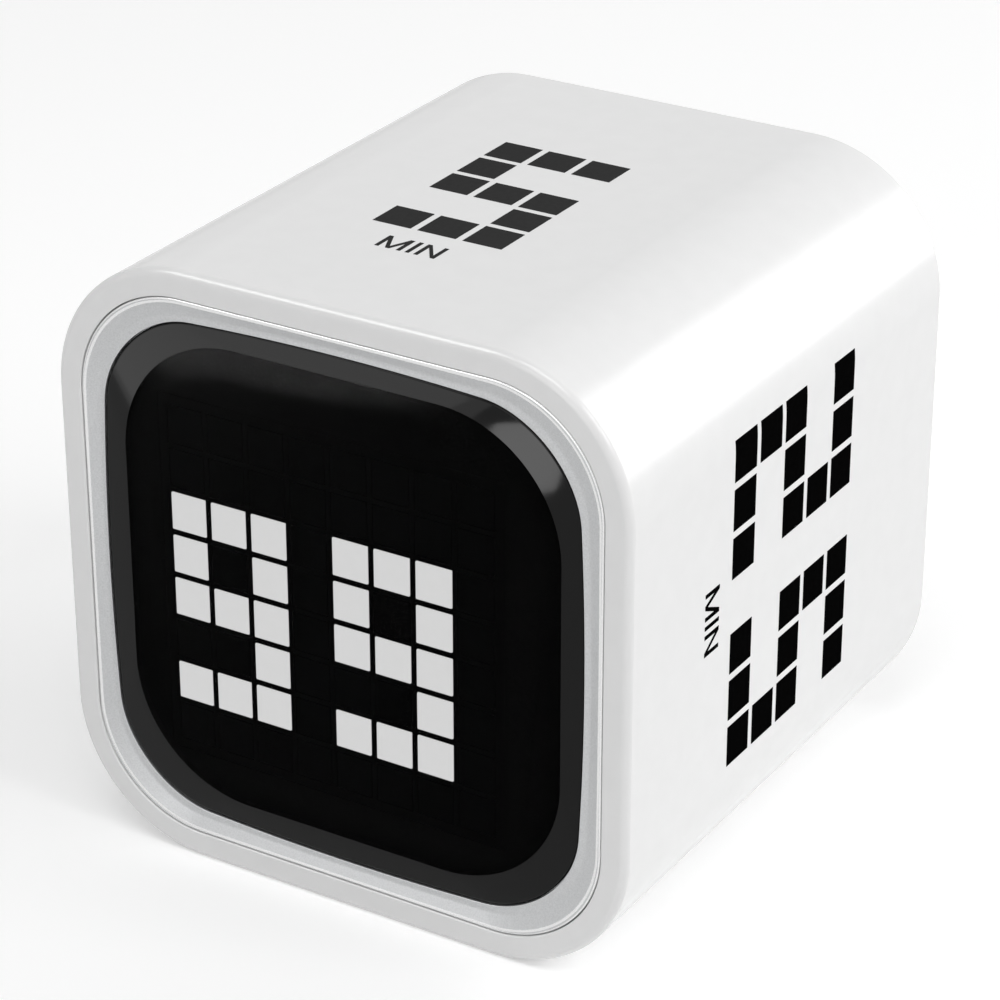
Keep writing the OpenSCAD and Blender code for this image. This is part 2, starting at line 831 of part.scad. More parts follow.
// Recessed rear cover with the openings of its controls and the posts of the main board
module back_cover() {
    color("#ececec") difference() {
        union() {
            from_front() around(bezel_half, bezel_r) polygon([
                [bezel_r, cover_inside],
                [bezel_r, cover_face - cover_chamfer],
                [bezel_r - cover_chamfer, cover_face],
                [bezel_r / 2, cover_face],
                [bezel_r / 2, cover_inside]
            ]);
            from_front() deep(cover_inside, cover_face)
                rounded_square(bezel_half - 2 * cover_chamfer, bezel_r - 2 * cover_chamfer);
            at_posts() deep_round(board_back, cover_inside + cover_t / 2, post_r);
        }
        at_cover_screws() {
            deep_round(cover_head_seat, cube_size, cover_head_r + head_gap);
            deep_round(0, cube_size, cover_screw_r + pass_gap);
        }
        at_posts()
            deep_round(
                board_back - cut,
                board_front + board_screw_l + tip_space,
                small_screw_r + pilot_gap
            );
        for (place = [-1 : 1])
            at_button(place) deep(cover_inside - cut, cube_size)
                rounded_rectangle(
                    button_side + 2 * button_gap,
                    button_side + 2 * button_gap,
                    button_r + button_gap
                );
        from_front() translate([slide_x, 0, slide_z])
            deep(cover_inside - cut, cube_size) slot(slot_l, slot_w);
        from_front() translate([0, 0, usb_z])
            deep(cover_inside - cut, cube_size) slot(usb_w + 2 * usb_gap, usb_h + 2 * usb_gap);
        from_front() translate([buzzer_x, 0, buzzer_z]) {
            deep_round(cover_inside - cut, cube_size, grille_hole_r);
            for (i = [0 : grille_holes - 1])
                rotate([0, 360 / grille_holes * i, 0])
                    translate([grille_r, 0, 0]) deep_round(cover_inside - cut, cube_size, grille_hole_r);
        }
    }
}

module cover_screws() {
    color("#8d9095") at_cover_screws()
        screw_to_front(cover_head_seat, cover_screw_l, cover_screw_r, cover_head_r, cover_head_h);
}

// Button cap with its flange and its foot, and a symbol sunk into its face
module button_cap(place) {
    color("#dcdcdc") at_button(place) difference() {
        union() {
            deep(button_flange_front, button_top) rounded_rectangle(button_side, button_side, button_r);
            deep(button_flange_front, button_flange_back)
                rounded_rectangle(button_flange_side, button_flange_side, button_r + button_flange_w);
            deep_round(plunger_top, button_flange_front + button_flange_t / 2, plunger_r);
        }
        deep(button_top - symbol_t, button_top + cut) children();
    }
}

module minus_symbol() {
    square([symbol_l, symbol_w], center = true);
}

module plus_symbol() {
    minus_symbol();
    rotate(90) minus_symbol();
}

// Start arrow, which points to the right for someone who looks at the back
module start_symbol() {
    polygon([[-symbol_l / 2, 0], [symbol_l / 2, symbol_l / 2], [symbol_l / 2, -symbol_l / 2]]);
}

module minus_button() {
    button_cap(1) minus_symbol();
}

module start_button() {
    button_cap(0) start_symbol();
}

module plus_button() {
    button_cap(-1) plus_symbol();
}

module tact_plunger(place) {
    color("#303030") at_button(place) deep_round(tact_top - plunger_in, plunger_top, plunger_r);
}

module minus_plunger() {
    tact_plunger(1);
}

module start_plunger() {
    tact_plunger(0);
}

module plus_plunger() {
    tact_plunger(-1);
}

// Bodies of the three tact switches, each with the well of its plunger
module tact_switches() {
    well = tact_top - plunger_in - button_travel - plunger_gap;
    color("#4a4c50") for (place = [-1 : 1])
        at_button(place) difference() {
            deep_block(tact_side, tact_side, board_back, tact_top);
            deep_round(well, tact_top + cut, plunger_r + plunger_gap);
        }
}

// Body of the power switch, with the slot of its lever
module slide_switch() {
    well = slide_top - lever_in - plunger_gap;
    color("#3a3c40") from_front() translate([slide_x, 0, slide_z]) difference() {
        deep_block(lever_slot_l + 2 * slide_wall, lever_slot_w + 2 * slide_wall, board_back, slide_top);
        deep_block(lever_slot_l, lever_slot_w, well, slide_top + cut);
    }
}

// Knob of the power switch: ridged grip, shutter and lever
module slide_knob() {
    groove_pitch = knob_l / (knob_ridges + 1);
    knob_top = cover_face + knob_proud;
    shutter_x = slide_x - knob_x;
    color("#2a2a2c") from_front() translate([knob_x, 0, slide_z]) difference() {
        union() {
            deep(shutter_back - shutter_t / 2, knob_top) slot(knob_l, knob_w);
            deep_block(shutter_l, shutter_w, shutter_front, shutter_back);
            deep_block(lever_side, lever_side, slide_top - lever_in, shutter_back - shutter_t / 2);
        }
        for (i = [1 : knob_ridges])
            translate([i * groove_pitch - knob_l / 2, knob_top, 0])
                cube([knob_groove, 2 * knob_groove, knob_w + cut], center = true);
    }
}

// Steel shell of the charging socket
module usb_shell() {
    color("#b9bcc0") from_front() translate([0, 0, usb_z]) difference() {
        deep(board_back, usb_mouth) slot(usb_w, usb_h);
        deep(board_back - cut, usb_mouth + cut) slot(usb_w - 2 * usb_wall, usb_h - 2 * usb_wall);
    }
}

// Black insulator of the charging socket with its contact tongue
module usb_tongue() {
    color("#161616") from_front() translate([0, 0, usb_z]) {
        deep(board_back, board_back + usb_base) slot(usb_w - 2 * usb_wall, usb_h - 2 * usb_wall);
        deep_block(tongue_w, tongue_t, board_back + usb_base / 2, usb_mouth - tongue_recess);
    }
}

module buzzer() {
    color("#1c1c1c") from_front() translate([buzzer_x, 0, buzzer_z]) difference() {
        deep_round(board_back, buzzer_top, buzzer_r);
        deep_round(buzzer_top - buzzer_hole_t, buzzer_top + cut, buzzer_hole_r);
    }
}

// Foam ring that leads the sound to the grille
module buzzer_gasket() {
    color("#55585c") from_front() translate([buzzer_x, 0, buzzer_z]) difference() {
        deep_round(buzzer_top, cover_inside, buzzer_r);
        deep_round(buzzer_top - cut, cover_inside + cut, buzzer_r - gasket_w);
    }
}

// Main board, cut clear of the sleeve's bosses
module main_board() {
    color("#1d5c38") difference() {
        from_front() deep(board_front, board_back)
            rounded_square(inner_half - board_gap, inner_r - board_gap);
        at_cover_screws() deep_round(0, cube_size, boss_r + board_gap);
        at_posts() deep_round(0, cube_size, small_screw_r + pass_gap);
    }
}

// Screw that points to the back, with its head seated at a depth
module screw_to_back(seat, length, shank_r, head_r, head_h) {
    difference() {
        union() {
            deep_round(seat - head_h / 2, seat + length, shank_r);
            deep_round(seat - head_h, seat, head_r);
        }
        cross_recess(seat - head_h, head_r);
    }
}

module board_screws() {
    color("#8d9095") at_posts()
        screw_to_back(board_front, board_screw_l, small_screw_r, small_head_r, small_head_h);
}

module board_connector() {
    color("#efe9d8") from_front() translate([0, 0, ribbon_z])
        deep_block(connector_l, connector_w, ribbon_end, board_front);
}

// Flat chip on the front of the main board
module board_chip(x, z, w, h, t) {
    color("#202124") from_front() translate([x, 0, z]) deep_block(w, h, board_front - t, board_front);
}

module mcu() {
    board_chip(mcu_x, mcu_z, mcu_side, mcu_side, mcu_t);
}

module motion_sensor() {
    board_chip(sensor_x, sensor_z, sensor_side, sensor_side, sensor_t);
}

module charger_chip() {
    board_chip(charger_x, charger_z, charger_l, charger_w, charger_t);
}

// Ribbon cable between the two boards, hanging in an even arc
module ribbon_cable() {
    arc_middle = [(ribbon_start + ribbon_end) / 2, ribbon_z - ribbon_sag + ribbon_arc_r];
    color("#d7d7d2") from_front() rotate([90, 0, 90]) linear_extrude(ribbon_w, center = true)
        intersection() {
            translate(arc_middle) difference() {
                circle(ribbon_arc_r + ribbon_t, $fn = 4 * $fn);
                circle(ribbon_arc_r, $fn = 4 * $fn);
            }
            translate([ribbon_start, ribbon_z - ribbon_sag - cut])
                square([ribbon_span, ribbon_sag + 2 * cut]);
        }
}

// Pouch battery on the floor of the sleeve
module battery() {
    middle = battery_foot + battery_h / 2 - half;
    color("#b8bcc2") from_front() translate([0, 0, middle])
        deep(battery_front, battery_back) rounded_rectangle(battery_w, battery_h, battery_r);
}

module battery_tape() {
    middle = (battery_front + battery_back) / 2 - half;
    color("#e6d9a8") translate([-battery_tape_side / 2, middle - battery_tape_side / 2, wall])
        cube([battery_tape_side, battery_tape_side, battery_tape_t]);
}

// Two leads that leave the back of the battery and bend up to the plug
module battery_leads() {
    bend_end = lead_height + lead_bend;
    color("#b3261e") for (side = [-1, 1])
        translate([socket_x + side * lead_pitch / 2, battery_back - half, 0]) {
            translate([0, 0, lead_height]) rotate([-90, 0, 0]) cylinder(h = lead_straight, r = lead_r);
            translate([0, lead_straight, bend_end]) rotate([90, 0, 90]) rotate([0, 0, -90])
                rotate_extrude(angle = 90) translate([lead_bend, 0]) circle(lead_r);
            translate([0, lead_straight + lead_bend, bend_end])
                cylinder(h = plug_foot - bend_end, r = lead_r);
        }
}

module battery_plug() {
    color("#f0efe9") translate([socket_x - plug_w / 2, plug_place - plug_d / 2 - half, plug_foot])
        cube([plug_w, plug_d, plug_out + plug_in]);
}

module battery_socket() {
    color("#efe9d8") difference() {
        translate([socket_x - socket_w / 2, board_front - socket_d - half, socket_mouth])
            cube([socket_w, socket_d, socket_h]);
        translate([
            socket_x - plug_w / 2 - plug_gap,
            plug_place - plug_d / 2 - plug_gap - half,
            socket_mouth - cut
        ])
            cube([plug_w + 2 * plug_gap, plug_d + 2 * plug_gap, plug_in + cut]);
    }
}

sleeve();
top_numeral();
right_numeral();
bottom_numeral();
left_numeral();
front_bezel();
lens();
lens_tape();
pixel_mask();
light_guide();
reflector_grid();
led_chips();
led_board();
led_connector();
display_screws();
back_cover();
cover_screws();
minus_button();
start_button();
plus_button();
minus_plunger();
start_plunger();
plus_plunger();
tact_switches();
slide_switch();
slide_knob();
usb_shell();
usb_tongue();
buzzer();
buzzer_gasket();
main_board();
board_screws();
board_connector();
mcu();
motion_sensor();
charger_chip();
ribbon_cable();
battery();
battery_tape();
battery_leads();
battery_plug();
battery_socket();
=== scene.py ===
"""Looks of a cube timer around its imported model: white sleeve, silver frame, smoked window, lit pixels.

Sizes are millimetres. Depths run back from the front rim, and x and z start at the middle of the front.
"""

import logging
import math
from collections.abc import Callable
from dataclasses import astuple, dataclass, field, replace
from enum import Enum

import bmesh
import bpy
from mathutils import Matrix, Vector


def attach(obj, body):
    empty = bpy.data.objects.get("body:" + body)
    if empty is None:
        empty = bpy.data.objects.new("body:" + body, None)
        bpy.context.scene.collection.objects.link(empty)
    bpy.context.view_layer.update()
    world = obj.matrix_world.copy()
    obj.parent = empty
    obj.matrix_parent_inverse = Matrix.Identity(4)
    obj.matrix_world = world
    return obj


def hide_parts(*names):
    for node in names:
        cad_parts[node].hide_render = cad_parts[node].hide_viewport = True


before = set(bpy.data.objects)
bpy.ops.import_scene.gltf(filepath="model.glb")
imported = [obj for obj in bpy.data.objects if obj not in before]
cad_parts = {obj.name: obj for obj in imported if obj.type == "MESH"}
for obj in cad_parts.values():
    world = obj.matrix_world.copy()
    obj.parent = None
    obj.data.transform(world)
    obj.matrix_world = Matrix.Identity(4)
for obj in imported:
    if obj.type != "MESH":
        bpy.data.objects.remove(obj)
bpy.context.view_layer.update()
LOG = logging.getLogger("cube_timer")
MM = 0.001
HALF = 30.0
CASE = "case"
# Sideways places of the three buttons behind
BUTTONS = {"minus": 14.0, "start": 0.0, "plus": -14.0}
# Steps round a corner of the large outlines, and cuts along their sides where those bow
FINE_STEPS = 40
SIDE_CUTS = 16
# Points this close count as one, faces this flat are joined, and places this near each other agree
WELD = 0.0005
FLAT_ANGLE = math.radians(0.3)
NEAR = 0.01
# Edges past the first angle get a fillet, and those past the second stay sharp in the shading
FILLET_ANGLE = math.radians(50)
CREASE_ANGLE = math.radians(32)


def linear(colour: str) -> tuple[float, float, float, float]:
    """Turns an sRGB hex colour to linear light.

    Args:
        colour: Hex colour such as "#f0f0f0".

    Returns:
        Red, green, blue and an alpha of one.
    """
    parts = [int(colour[i : i + 2], 16) / 255 for i in (1, 3, 5)]
    light = [c / 12.92 if c <= 0.04045 else ((c + 0.055) / 1.055) ** 2.4 for c in parts]
    return light[0], light[1], light[2], 1.0


def spot(x: float, depth: float, z: float) -> Vector:
    """Place in the shared frame of a point given from the middle of the front."""
    return Vector((x, depth - HALF, z + HALF)) * MM


def at_depth(point: Vector, depth: float) -> bool:
    """Tells whether a point in the shared frame lies at a depth."""
    return abs(point.y / MM + HALF - depth) < NEAR


def add_node(
    tree: bpy.types.NodeTree, kind: str, settings: dict | None = None, inputs: dict | None = None
) -> bpy.types.Node:
    """Adds a node, sets it up and links it.

    Args:
        tree: Node tree that gets the node.
        kind: Type of the node.
        settings: Properties of the node.
        inputs: Values or output sockets, by the name of the input.

    Returns:
        The new node.
    """
    node = tree.nodes.new(kind)
    for name, value in (settings or {}).items():
        setattr(node, name, value)
    for name, value in (inputs or {}).items():
        if isinstance(value, bpy.types.NodeSocket):
            tree.links.new(value, node.inputs[name])
        else:
            node.inputs[name].default_value = value
    return node


class Pattern(Enum):
    """Texture that carries the grain of a finish."""

    GRAIN = "ShaderNodeTexNoise"
    CELLS = "ShaderNodeTexVoronoi"
    STRIPES = "ShaderNodeTexWave"
    TRACKS = "ShaderNodeTexBrick"


@dataclass(frozen=True)
class Finish:
    """A surface with one main colour, a second one in its grain, and a fine relief."""

    name: str
    colour: str
    second: str
    rough: tuple[float, float]
    grain: float
    relief: float
    metallic: float = 0.0
    ior: float = 1.5
    specular: float = 0.5
    pattern: Pattern = Pattern.GRAIN
    stretch: tuple[float, float, float] = (1.0, 1.0, 1.0)
    spread: tuple[float, float] = (0.3, 0.7)

    def texture(self, tree: bpy.types.NodeTree) -> bpy.types.NodeSocket:
        """Adds the grain, which is as large as the real one.

        Args:
            tree: Node tree of the material.

        Returns:
            Socket with the grain, from 0 to 1.
        """
        coords = add_node(tree, "ShaderNodeTexCoord")
        place = add_node(
            tree,
            "ShaderNodeMapping",
            inputs={"Vector": coords.outputs["Object"], "Scale": self.stretch},
        )
        grain = add_node(
            tree,
            self.pattern.value,
            inputs={"Vector": place.outputs["Vector"], "Scale": 1 / (self.grain * MM)},
        )
        return grain.outputs["Distance" if self.pattern is Pattern.CELLS else "Fac"]

    def principled(self, tree: bpy.types.NodeTree) -> bpy.types.Node:
        """Adds the shader with its colours, gloss and relief.

        Args:
            tree: Node tree of the material.

        Returns:
            The shader node.
        """
        grain = self.texture(tree)
        tint = add_node(tree, "ShaderNodeValToRGB", inputs={"Fac": grain})
        low, high = tint.color_ramp.elements
        low.position, high.position = self.spread
        low.color, high.color = linear(self.colour), linear(self.second)
        gloss = add_node(
            tree,
            "ShaderNodeMapRange",
            inputs={"Value": grain, "To Min": self.rough[0], "To Max": self.rough[1]},
        )
        bump = add_node(
            tree,
            "ShaderNodeBump",
            inputs={"Height": grain, "Distance": self.relief * MM * MM},
        )
        return add_node(
            tree,
            "ShaderNodeBsdfPrincipled",
            inputs={
                "Base Color": tint.outputs["Color"],
                "Roughness": gloss.outputs["Result"],
                "Normal": bump.outputs["Normal"],
                "Metallic": self.metallic,
                "IOR": self.ior,
                "Specular IOR Level": self.specular,
            },
        )

    def surface(self, tree: bpy.types.NodeTree) -> bpy.types.NodeSocket:
        """Socket that the material's surface takes."""
        return self.principled(tree).outputs["BSDF"]

    def build(self) -> bpy.types.Material:
        """Material of this finish, made once.

        Returns:
            The material.
        """
        known = bpy.data.materials.get(self.name)
        if known:
            return known
        material = bpy.data.materials.new(self.name)
        material.use_nodes = True
        tree = material.node_tree
        tree.nodes.clear()
        add_node(tree, "ShaderNodeOutputMaterial", inputs={"Surface": self.surface(tree)})
        return material


@dataclass(frozen=True)
class SmokedWindow(Finish):
    """Clear smoked sheet: lets part of the light straight through and mirrors a little of the room."""

    through: float = 0.806

    def surface(self, tree: bpy.types.NodeTree) -> bpy.types.NodeSocket:
        """Mixes clear sheet and dark gloss.

        Args:
            tree: Node tree of the material.

        Returns:
            Socket of the mixed shader.
        """
        clear = add_node(tree, "ShaderNodeBsdfTransparent")
        mixed = add_node(tree, "ShaderNodeMixShader", inputs={"Fac": self.through})
        tree.links.new(self.principled(tree).outputs["BSDF"], mixed.inputs[1])
        tree.links.new(clear.outputs["BSDF"], mixed.inputs[2])
        return mixed.outputs["Shader"]


@dataclass(frozen=True)
class LitPixel(Finish):
    """Milky diffuser with the LED behind it switched on."""

    light: str = "#ffffff"
    glow: float = 0.92

    def surface(self, tree: bpy.types.NodeTree) -> bpy.types.NodeSocket:
        """Adds the light of the LED to the diffuser.

        Args:
            tree: Node tree of the material.

        Returns:
            Socket of the shader.
        """
        shader = self.principled(tree)
        shader.inputs["Emission Color"].default_value = linear(self.light)
        shader.inputs["Emission Strength"].default_value = self.glow
        return shader.outputs["BSDF"]


@dataclass(frozen=True)
class TwoLeads(Finish):
    """Insulation of a pair of leads, each of its own colour."""

    split: float = 0.0
    blend: float = 0.1

    def principled(self, tree: bpy.types.NodeTree) -> bpy.types.Node:
        """Colours the leads by the side of the pair that they lie on.

        Args:
            tree: Node tree of the material.

        Returns:
            The shader node.
        """
        shader = super().principled(tree)
        coords = add_node(tree, "ShaderNodeTexCoord")
        axes = add_node(tree, "ShaderNodeSeparateXYZ", inputs={"Vector": coords.outputs["Object"]})
        side = add_node(
            tree,
            "ShaderNodeMapRange",
            inputs={
                "Value": axes.outputs["X"],
                "From Min": (self.split - self.blend) * MM,
                "From Max": (self.split + self.blend) * MM,
            },
        )
        tint = shader.inputs["Base Color"].links[0].from_node
        tree.links.new(side.outputs["Result"], tint.inputs["Fac"])
        return shader


# Gloss-moulded ABS: an even, slightly wavy white skin with soft highlights
WHITE_ABS = Finish("gloss_white_abs", "#f1f1f1", "#efefef", (0.16, 0.2), 2.5, 0.3, ior=1.53)
# Spark-textured ABS of the rear cover: the same white, duller, with a fine tooth
COVER_ABS = Finish("textured_white_abs", "#ebebea", "#e6e6e5", (0.45, 0.58), 0.35, 7.0, ior=1.53)
# Satin ABS of the buttons: a shade darker, so that they stand out from the cover
BUTTON_ABS = Finish("satin_grey_abs", "#d3d4d5", "#cecfd0", (0.34, 0.42), 0.6, 2.0, ior=1.53)
# Paint sunk into the symbols: dull dark grey
SYMBOL_PAINT = Finish("symbol_paint", "#3a3b3d", "#333436", (0.55, 0.65), 0.5, 2.0)
# Silver paint over a bead-blasted frame: a soft metal sheen, with a fine sparkle from small flakes
SILVER = Finish("silver_flake_paint", "#c8c9ca", "#b9babb", (0.3, 0.4), 0.13, 1.2, metallic=0.8)
# Bright-cut outer edge of the frame: the same silver, smoother, and painted paler as a painted highlight,
# so that it shows as a pale line
SILVER_EDGE_PAINTED_HIGHLIGHT = Finish("silver_edge_painted_highlight", "#ececec", "#e6e6e6", (0.22, 0.28), 0.13, 0.3, metallic=0.8)
# Pad-printed black ink: matt, nearly without a shine
SIDE_INK = Finish("matt_black_ink", "#060606", "#090909", (0.8, 0.9), 0.5, 0.4, specular=0.0)
# The same black print, painted charcoal on the top as a painted sheen: it stands in for the reflection of
# the bright room on that face
TOP_INK_PAINTED_SHEEN = Finish("top_ink_painted_sheen", "#3c3c3c", "#393939", (0.8, 0.9), 0.5, 0.4, specular=0.0)
# Smoked acrylic with a coating against reflections: deep black until a pixel lights up
WINDOW = SmokedWindow(
    "coated_smoked_acrylic",
    "#030303",
    "#040404",
    (0.14, 0.16),
    4.0,
    0.02,
    specular=0.04,
)
# Black print under the polished edge of the acrylic: a mirror-like dark ring
WINDOW_RING = Finish(
    "polished_acrylic_edge",
    "#050505",
    "#060606",
    (0.05, 0.07),
    4.0,
    0.05,
    specular=0.16,
)
# Opal polycarbonate with its LED on
LIT = LitPixel("lit_opal_polycarbonate", "#767676", "#707070", (0.5, 0.6), 1.2, 1.0, specular=0.1)
# The same diffuser smoked, with its LED off
UNLIT = Finish("smoked_polycarbonate", "#030303", "#040404", (0.6, 0.7), 1.2, 1.0, specular=0.0)
# Black moulded ABS with a fine matt tooth, which swallows light under the window
BLACK_ABS = Finish("matt_black_abs", "#030303", "#040404", (0.65, 0.78), 0.4, 4.0, specular=0.0)
# Knob of the power switch: dark nylon with a soft shine
KNOB_NYLON = Finish("dark_nylon", "#2a2b2d", "#242527", (0.38, 0.48), 0.5, 3.0)
# Zinc-plated screw steel: grey, bright and a little mottled
SCREW_STEEL = Finish("zinc_plated_steel", "#a3a6aa", "#8e9196", (0.25, 0.4), 0.4, 2.0, metallic=1.0)
# Drawn stainless steel: long fine scratches along the shell
SHELL_STEEL = Finish(
    "drawn_stainless_steel",
    "#b7babd",
    "#a2a5a9",
    (0.22, 0.36),
    0.25,
    1.2,
    metallic=1.0,
    stretch=(1, 0.1, 1),
)
# Hard gold on the contacts: warm and bright
CONTACT_GOLD = Finish("hard_gold", "#e0b45a", "#d4a549", (0.2, 0.3), 0.3, 0.6, metallic=1.0)
# Black glass-filled insulator of the socket
TONGUE_PLASTIC = Finish("glass_filled_nylon", "#141415", "#1a1a1b", (0.45, 0.6), 0.3, 3.0)
# White reflector: matt and even, so that it spreads the LED's light
REFLECTOR_PC = Finish("white_reflector_pc", "#f3f3f2", "#eeeeed", (0.6, 0.7), 0.5, 3.0)
# Phosphor resin of the LEDs: yellow and silky
LED_RESIN = Finish("phosphor_resin", "#ffe9a8", "#f6dc92", (0.35, 0.45), 0.2, 2.0)
# Fibreglass board under green solder mask: copper tracks show as paler lines
BOARD = Finish(
    "green_fibreglass",
    "#12482c",
    "#1f6b42",
    (0.3, 0.42),
    2.2,
    12.0,
    pattern=Pattern.TRACKS,
    spread=(0.2, 0.8),
)
# Ivory nylon of the plugs and sockets
CONNECTOR_NYLON = Finish("ivory_nylon", "#ece4cf", "#e2d9c2", (0.45, 0.55), 0.8, 4.0)
# Moulded epoxy of the chips: dull black with a sandy face
CHIP_EPOXY = Finish("chip_epoxy", "#1c1d1f", "#232427", (0.6, 0.75), 0.25, 6.0)
# Buzzer case: black phenolic
BUZZER_PHENOLIC = Finish("black_phenolic", "#17181a", "#1f2022", (0.4, 0.5), 0.5, 3.0)
# Closed-cell foam: grey with open bubbles at its skin
FOAM = Finish("closed_cell_foam", "#3c3e42", "#5a5c60", (0.85, 0.95), 0.5, 60.0, pattern=Pattern.CELLS)
# Black foam adhesive under the window
WINDOW_TAPE = Finish(
    "black_foam_adhesive",
    "#040404",
    "#070707",
    (0.8, 0.9),
    0.4,
    20.0,
    specular=0.02,
    pattern=Pattern.CELLS,
)
# Amber adhesive film under the battery
BATTERY_TAPE = Finish("amber_adhesive_film", "#d9c58a", "#cdb878", (0.25, 0.4), 3.0, 10.0)
# Polyester ribbon: copper conductors show through the white film every millimetre
RIBBON = Finish(
    "polyester_ribbon",
    "#dcdcd6",
    "#c3bfae",
    (0.3, 0.4),
    3.14,
    20.0,
    pattern=Pattern.STRIPES,
    spread=(0.4, 0.9),
)
# Aluminium laminate of the pouch cell: silvery, softly creased
BATTERY_FOIL = Finish("aluminium_laminate", "#b9bdc3", "#a7abb2", (0.3, 0.45), 3.0, 40.0, metallic=0.8)
# Silicone insulation, one lead black and one red
LEADS = TwoLeads("silicone_insulation", "#191919", "#b3261e", (0.4, 0.5), 0.8, 3.0, split=-9.0)
# Print of the switch's two words: plain grey ink
WORD_INK = Finish("grey_ink", "#6a6c6f", "#626467", (0.7, 0.8), 0.5, 0.4, specular=0.1)


@dataclass(frozen=True)
class Fillet:
    """Rounding of an edge, in a number of faces across it."""

    radius: float
    segments: int


def round_edges(
    mesh: bmesh.types.BMesh, edges: list[bmesh.types.BMEdge], fillet: Fillet
) -> list[bmesh.types.BMFace]:
    """Rounds edges over.

    Args:
        mesh: Mesh to work on.
        edges: Its edges to round.
        fillet: The rounding.

    Returns:
        Faces of the fillet.
    """
    made = bmesh.ops.bevel(
        mesh,
        geom=edges,
        offset=fillet.radius * MM,
        affect="EDGES",
        segments=fillet.segments,
        profile=0.5,
        material=-1,
    )
    return made["faces"]


@dataclass(frozen=True)
class Outline:
    """Rounded rectangle at a depth behind the front rim, whose sides may bow out."""

    half_w: float
    half_h: float
    radius: float
    depth: float
    x: float = 0.0
    z: float = 0.0
    bow: float = 0.0


def square(half: float, radius: float, depth: float) -> Outline:
    """Rounded square at a depth."""
    return Outline(half, half, radius, depth)


@dataclass
class Loft:
    """Mesh that is skinned over a row of outlines."""

    x: float = 0.0
    z: float = 0.0
    steps: int = 16
    mesh: bmesh.types.BMesh = field(default_factory=bmesh.new)
    apart: float = 5.0
    cuts: int = 0

    def bow(self, edges: list[bmesh.types.BMEdge], outline: Outline) -> list[bmesh.types.BMEdge]:
        """Cuts the straight sides of an outline and bows them out.

        Args:
            edges: Its edges.
            outline: Its size and place.

        Returns:
            All its edges, the new ones too.
        """
        # The four longest edges are the sides, the others go round the corners
        sides = sorted(edges, key=lambda e: e.calc_length())[-4:]
        cut = bmesh.ops.subdivide_edges(self.mesh, edges=sides, cuts=self.cuts)["geom_inner"]
        added = {v for v in cut if isinstance(v, bmesh.types.BMVert)}
        verts = {v for e in edges for v in e.verts} | added
        middle = spot(self.x + outline.x, outline.depth, self.z + outline.z)
        for vert in verts:
            across = (vert.co.x - middle.x) / (outline.half_w * MM)
            up = (vert.co.z - middle.z) / (outline.half_h * MM)
            vert.co.x += outline.bow * across * (1 - up**2) * MM
            vert.co.z += outline.bow * up * (1 - across**2) * MM
        return list({e for v in verts for e in v.link_edges})

    def ring(self, outline: Outline) -> list[bmesh.types.BMEdge]:
        """Draws one outline.

        Args:
            outline: Its size and place.

        Returns:
            Edges of the outline.
        """
        before = set(self.mesh.edges)
        place = (
            Matrix.Translation(spot(self.x + outline.x, outline.depth, self.z + outline.z))
            @ Matrix.Rotation(math.pi / 2, 4, "X")
            @ Matrix.Diagonal((outline.half_w * MM, outline.half_h * MM, 1, 1))
        )
        grid = bmesh.ops.create_grid(self.mesh, x_segments=1, y_segments=1, size=1, matrix=place)
        bmesh.ops.bevel(
            self.mesh,
            geom=grid["verts"],
            offset=outline.radius * MM,
            affect="VERTICES",
            segments=self.steps,
            profile=0.5,
            material=-1,
        )
        edges = [e for e in self.mesh.edges if e not in before]
        faces = list({f for e in edges for f in e.link_faces})
        bmesh.ops.delete(self.mesh, geom=faces, context="FACES_ONLY")
        return self.bow(edges, outline) if self.cuts else edges

    def skin(self, outlines: list[Outline], closed: bool = False) -> list[list[bmesh.types.BMEdge]]:
        """Skins the outlines in their order.

        Args:
            outlines: The row of outlines.
            closed: Whether the last one joins the first, as in a tube with a wall. If not, both ends
                are capped.

        Returns:
            Edges of each outline.
        """
        # bridge_loops can twist two outlines of one depth, so they're drawn apart and slid in after it
        rings = [self.ring(replace(o, depth=i * self.apart)) for i, o in enumerate(outlines)]
        for a, b in zip(rings, rings[1:] + (rings[:1] if closed else [])):
            bmesh.ops.bridge_loops(self.mesh, edges=a + b)
        for end in [] if closed else [rings[0], rings[-1]]:
            bmesh.ops.edgeloop_fill(self.mesh, edges=end)
        for i, (edges, outline) in enumerate(zip(rings, outlines)):
            verts = list({v for e in edges for v in e.verts})
            slide = (0.0, (outline.depth - i * self.apart) * MM, 0.0)
            bmesh.ops.translate(self.mesh, verts=verts, vec=slide)
        return rings

    def round_over(self, edges: list[bmesh.types.BMEdge], fillet: Fillet, finish: int = 0) -> None:
        """Rounds edges of the mesh over.

        Args:
            edges: Edges to round.
            fillet: The rounding.
            finish: Number of the fillet's finish.
        """
        for face in round_edges(self.mesh, edges, fillet):
            face.material_index = finish


def node_copy(name: str) -> bmesh.types.BMesh:
    """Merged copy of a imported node's mesh, with its flat faces joined.

    Args:
        name: Node to copy.

    Returns:
        The copy.
    """
    mesh = bmesh.new()
    mesh.from_mesh(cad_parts[name].data)
    bmesh.ops.remove_doubles(mesh, verts=mesh.verts, dist=WELD * MM)
    bmesh.ops.dissolve_limit(
        mesh, angle_limit=FLAT_ANGLE, verts=mesh.verts, edges=mesh.edges, delimit={"NORMAL"}
    )
    return mesh


def soften(mesh: bmesh.types.BMesh, fillet: Fillet, chosen: Callable[[Vector], bool]) -> None:
    """Rounds over the sharp edges of a mesh that lie where they should be soft.

    Args:
        mesh: Mesh to work on.
        fillet: The rounding.
        chosen: Tells whether the end of an edge lies there.
    """
    sharp = [e for e in mesh.edges if len(e.link_faces) == 2 and e.calc_face_angle() > FILLET_ANGLE]
    round_edges(mesh, [e for e in sharp if all(chosen(v.co) for v in e.verts)], fillet)


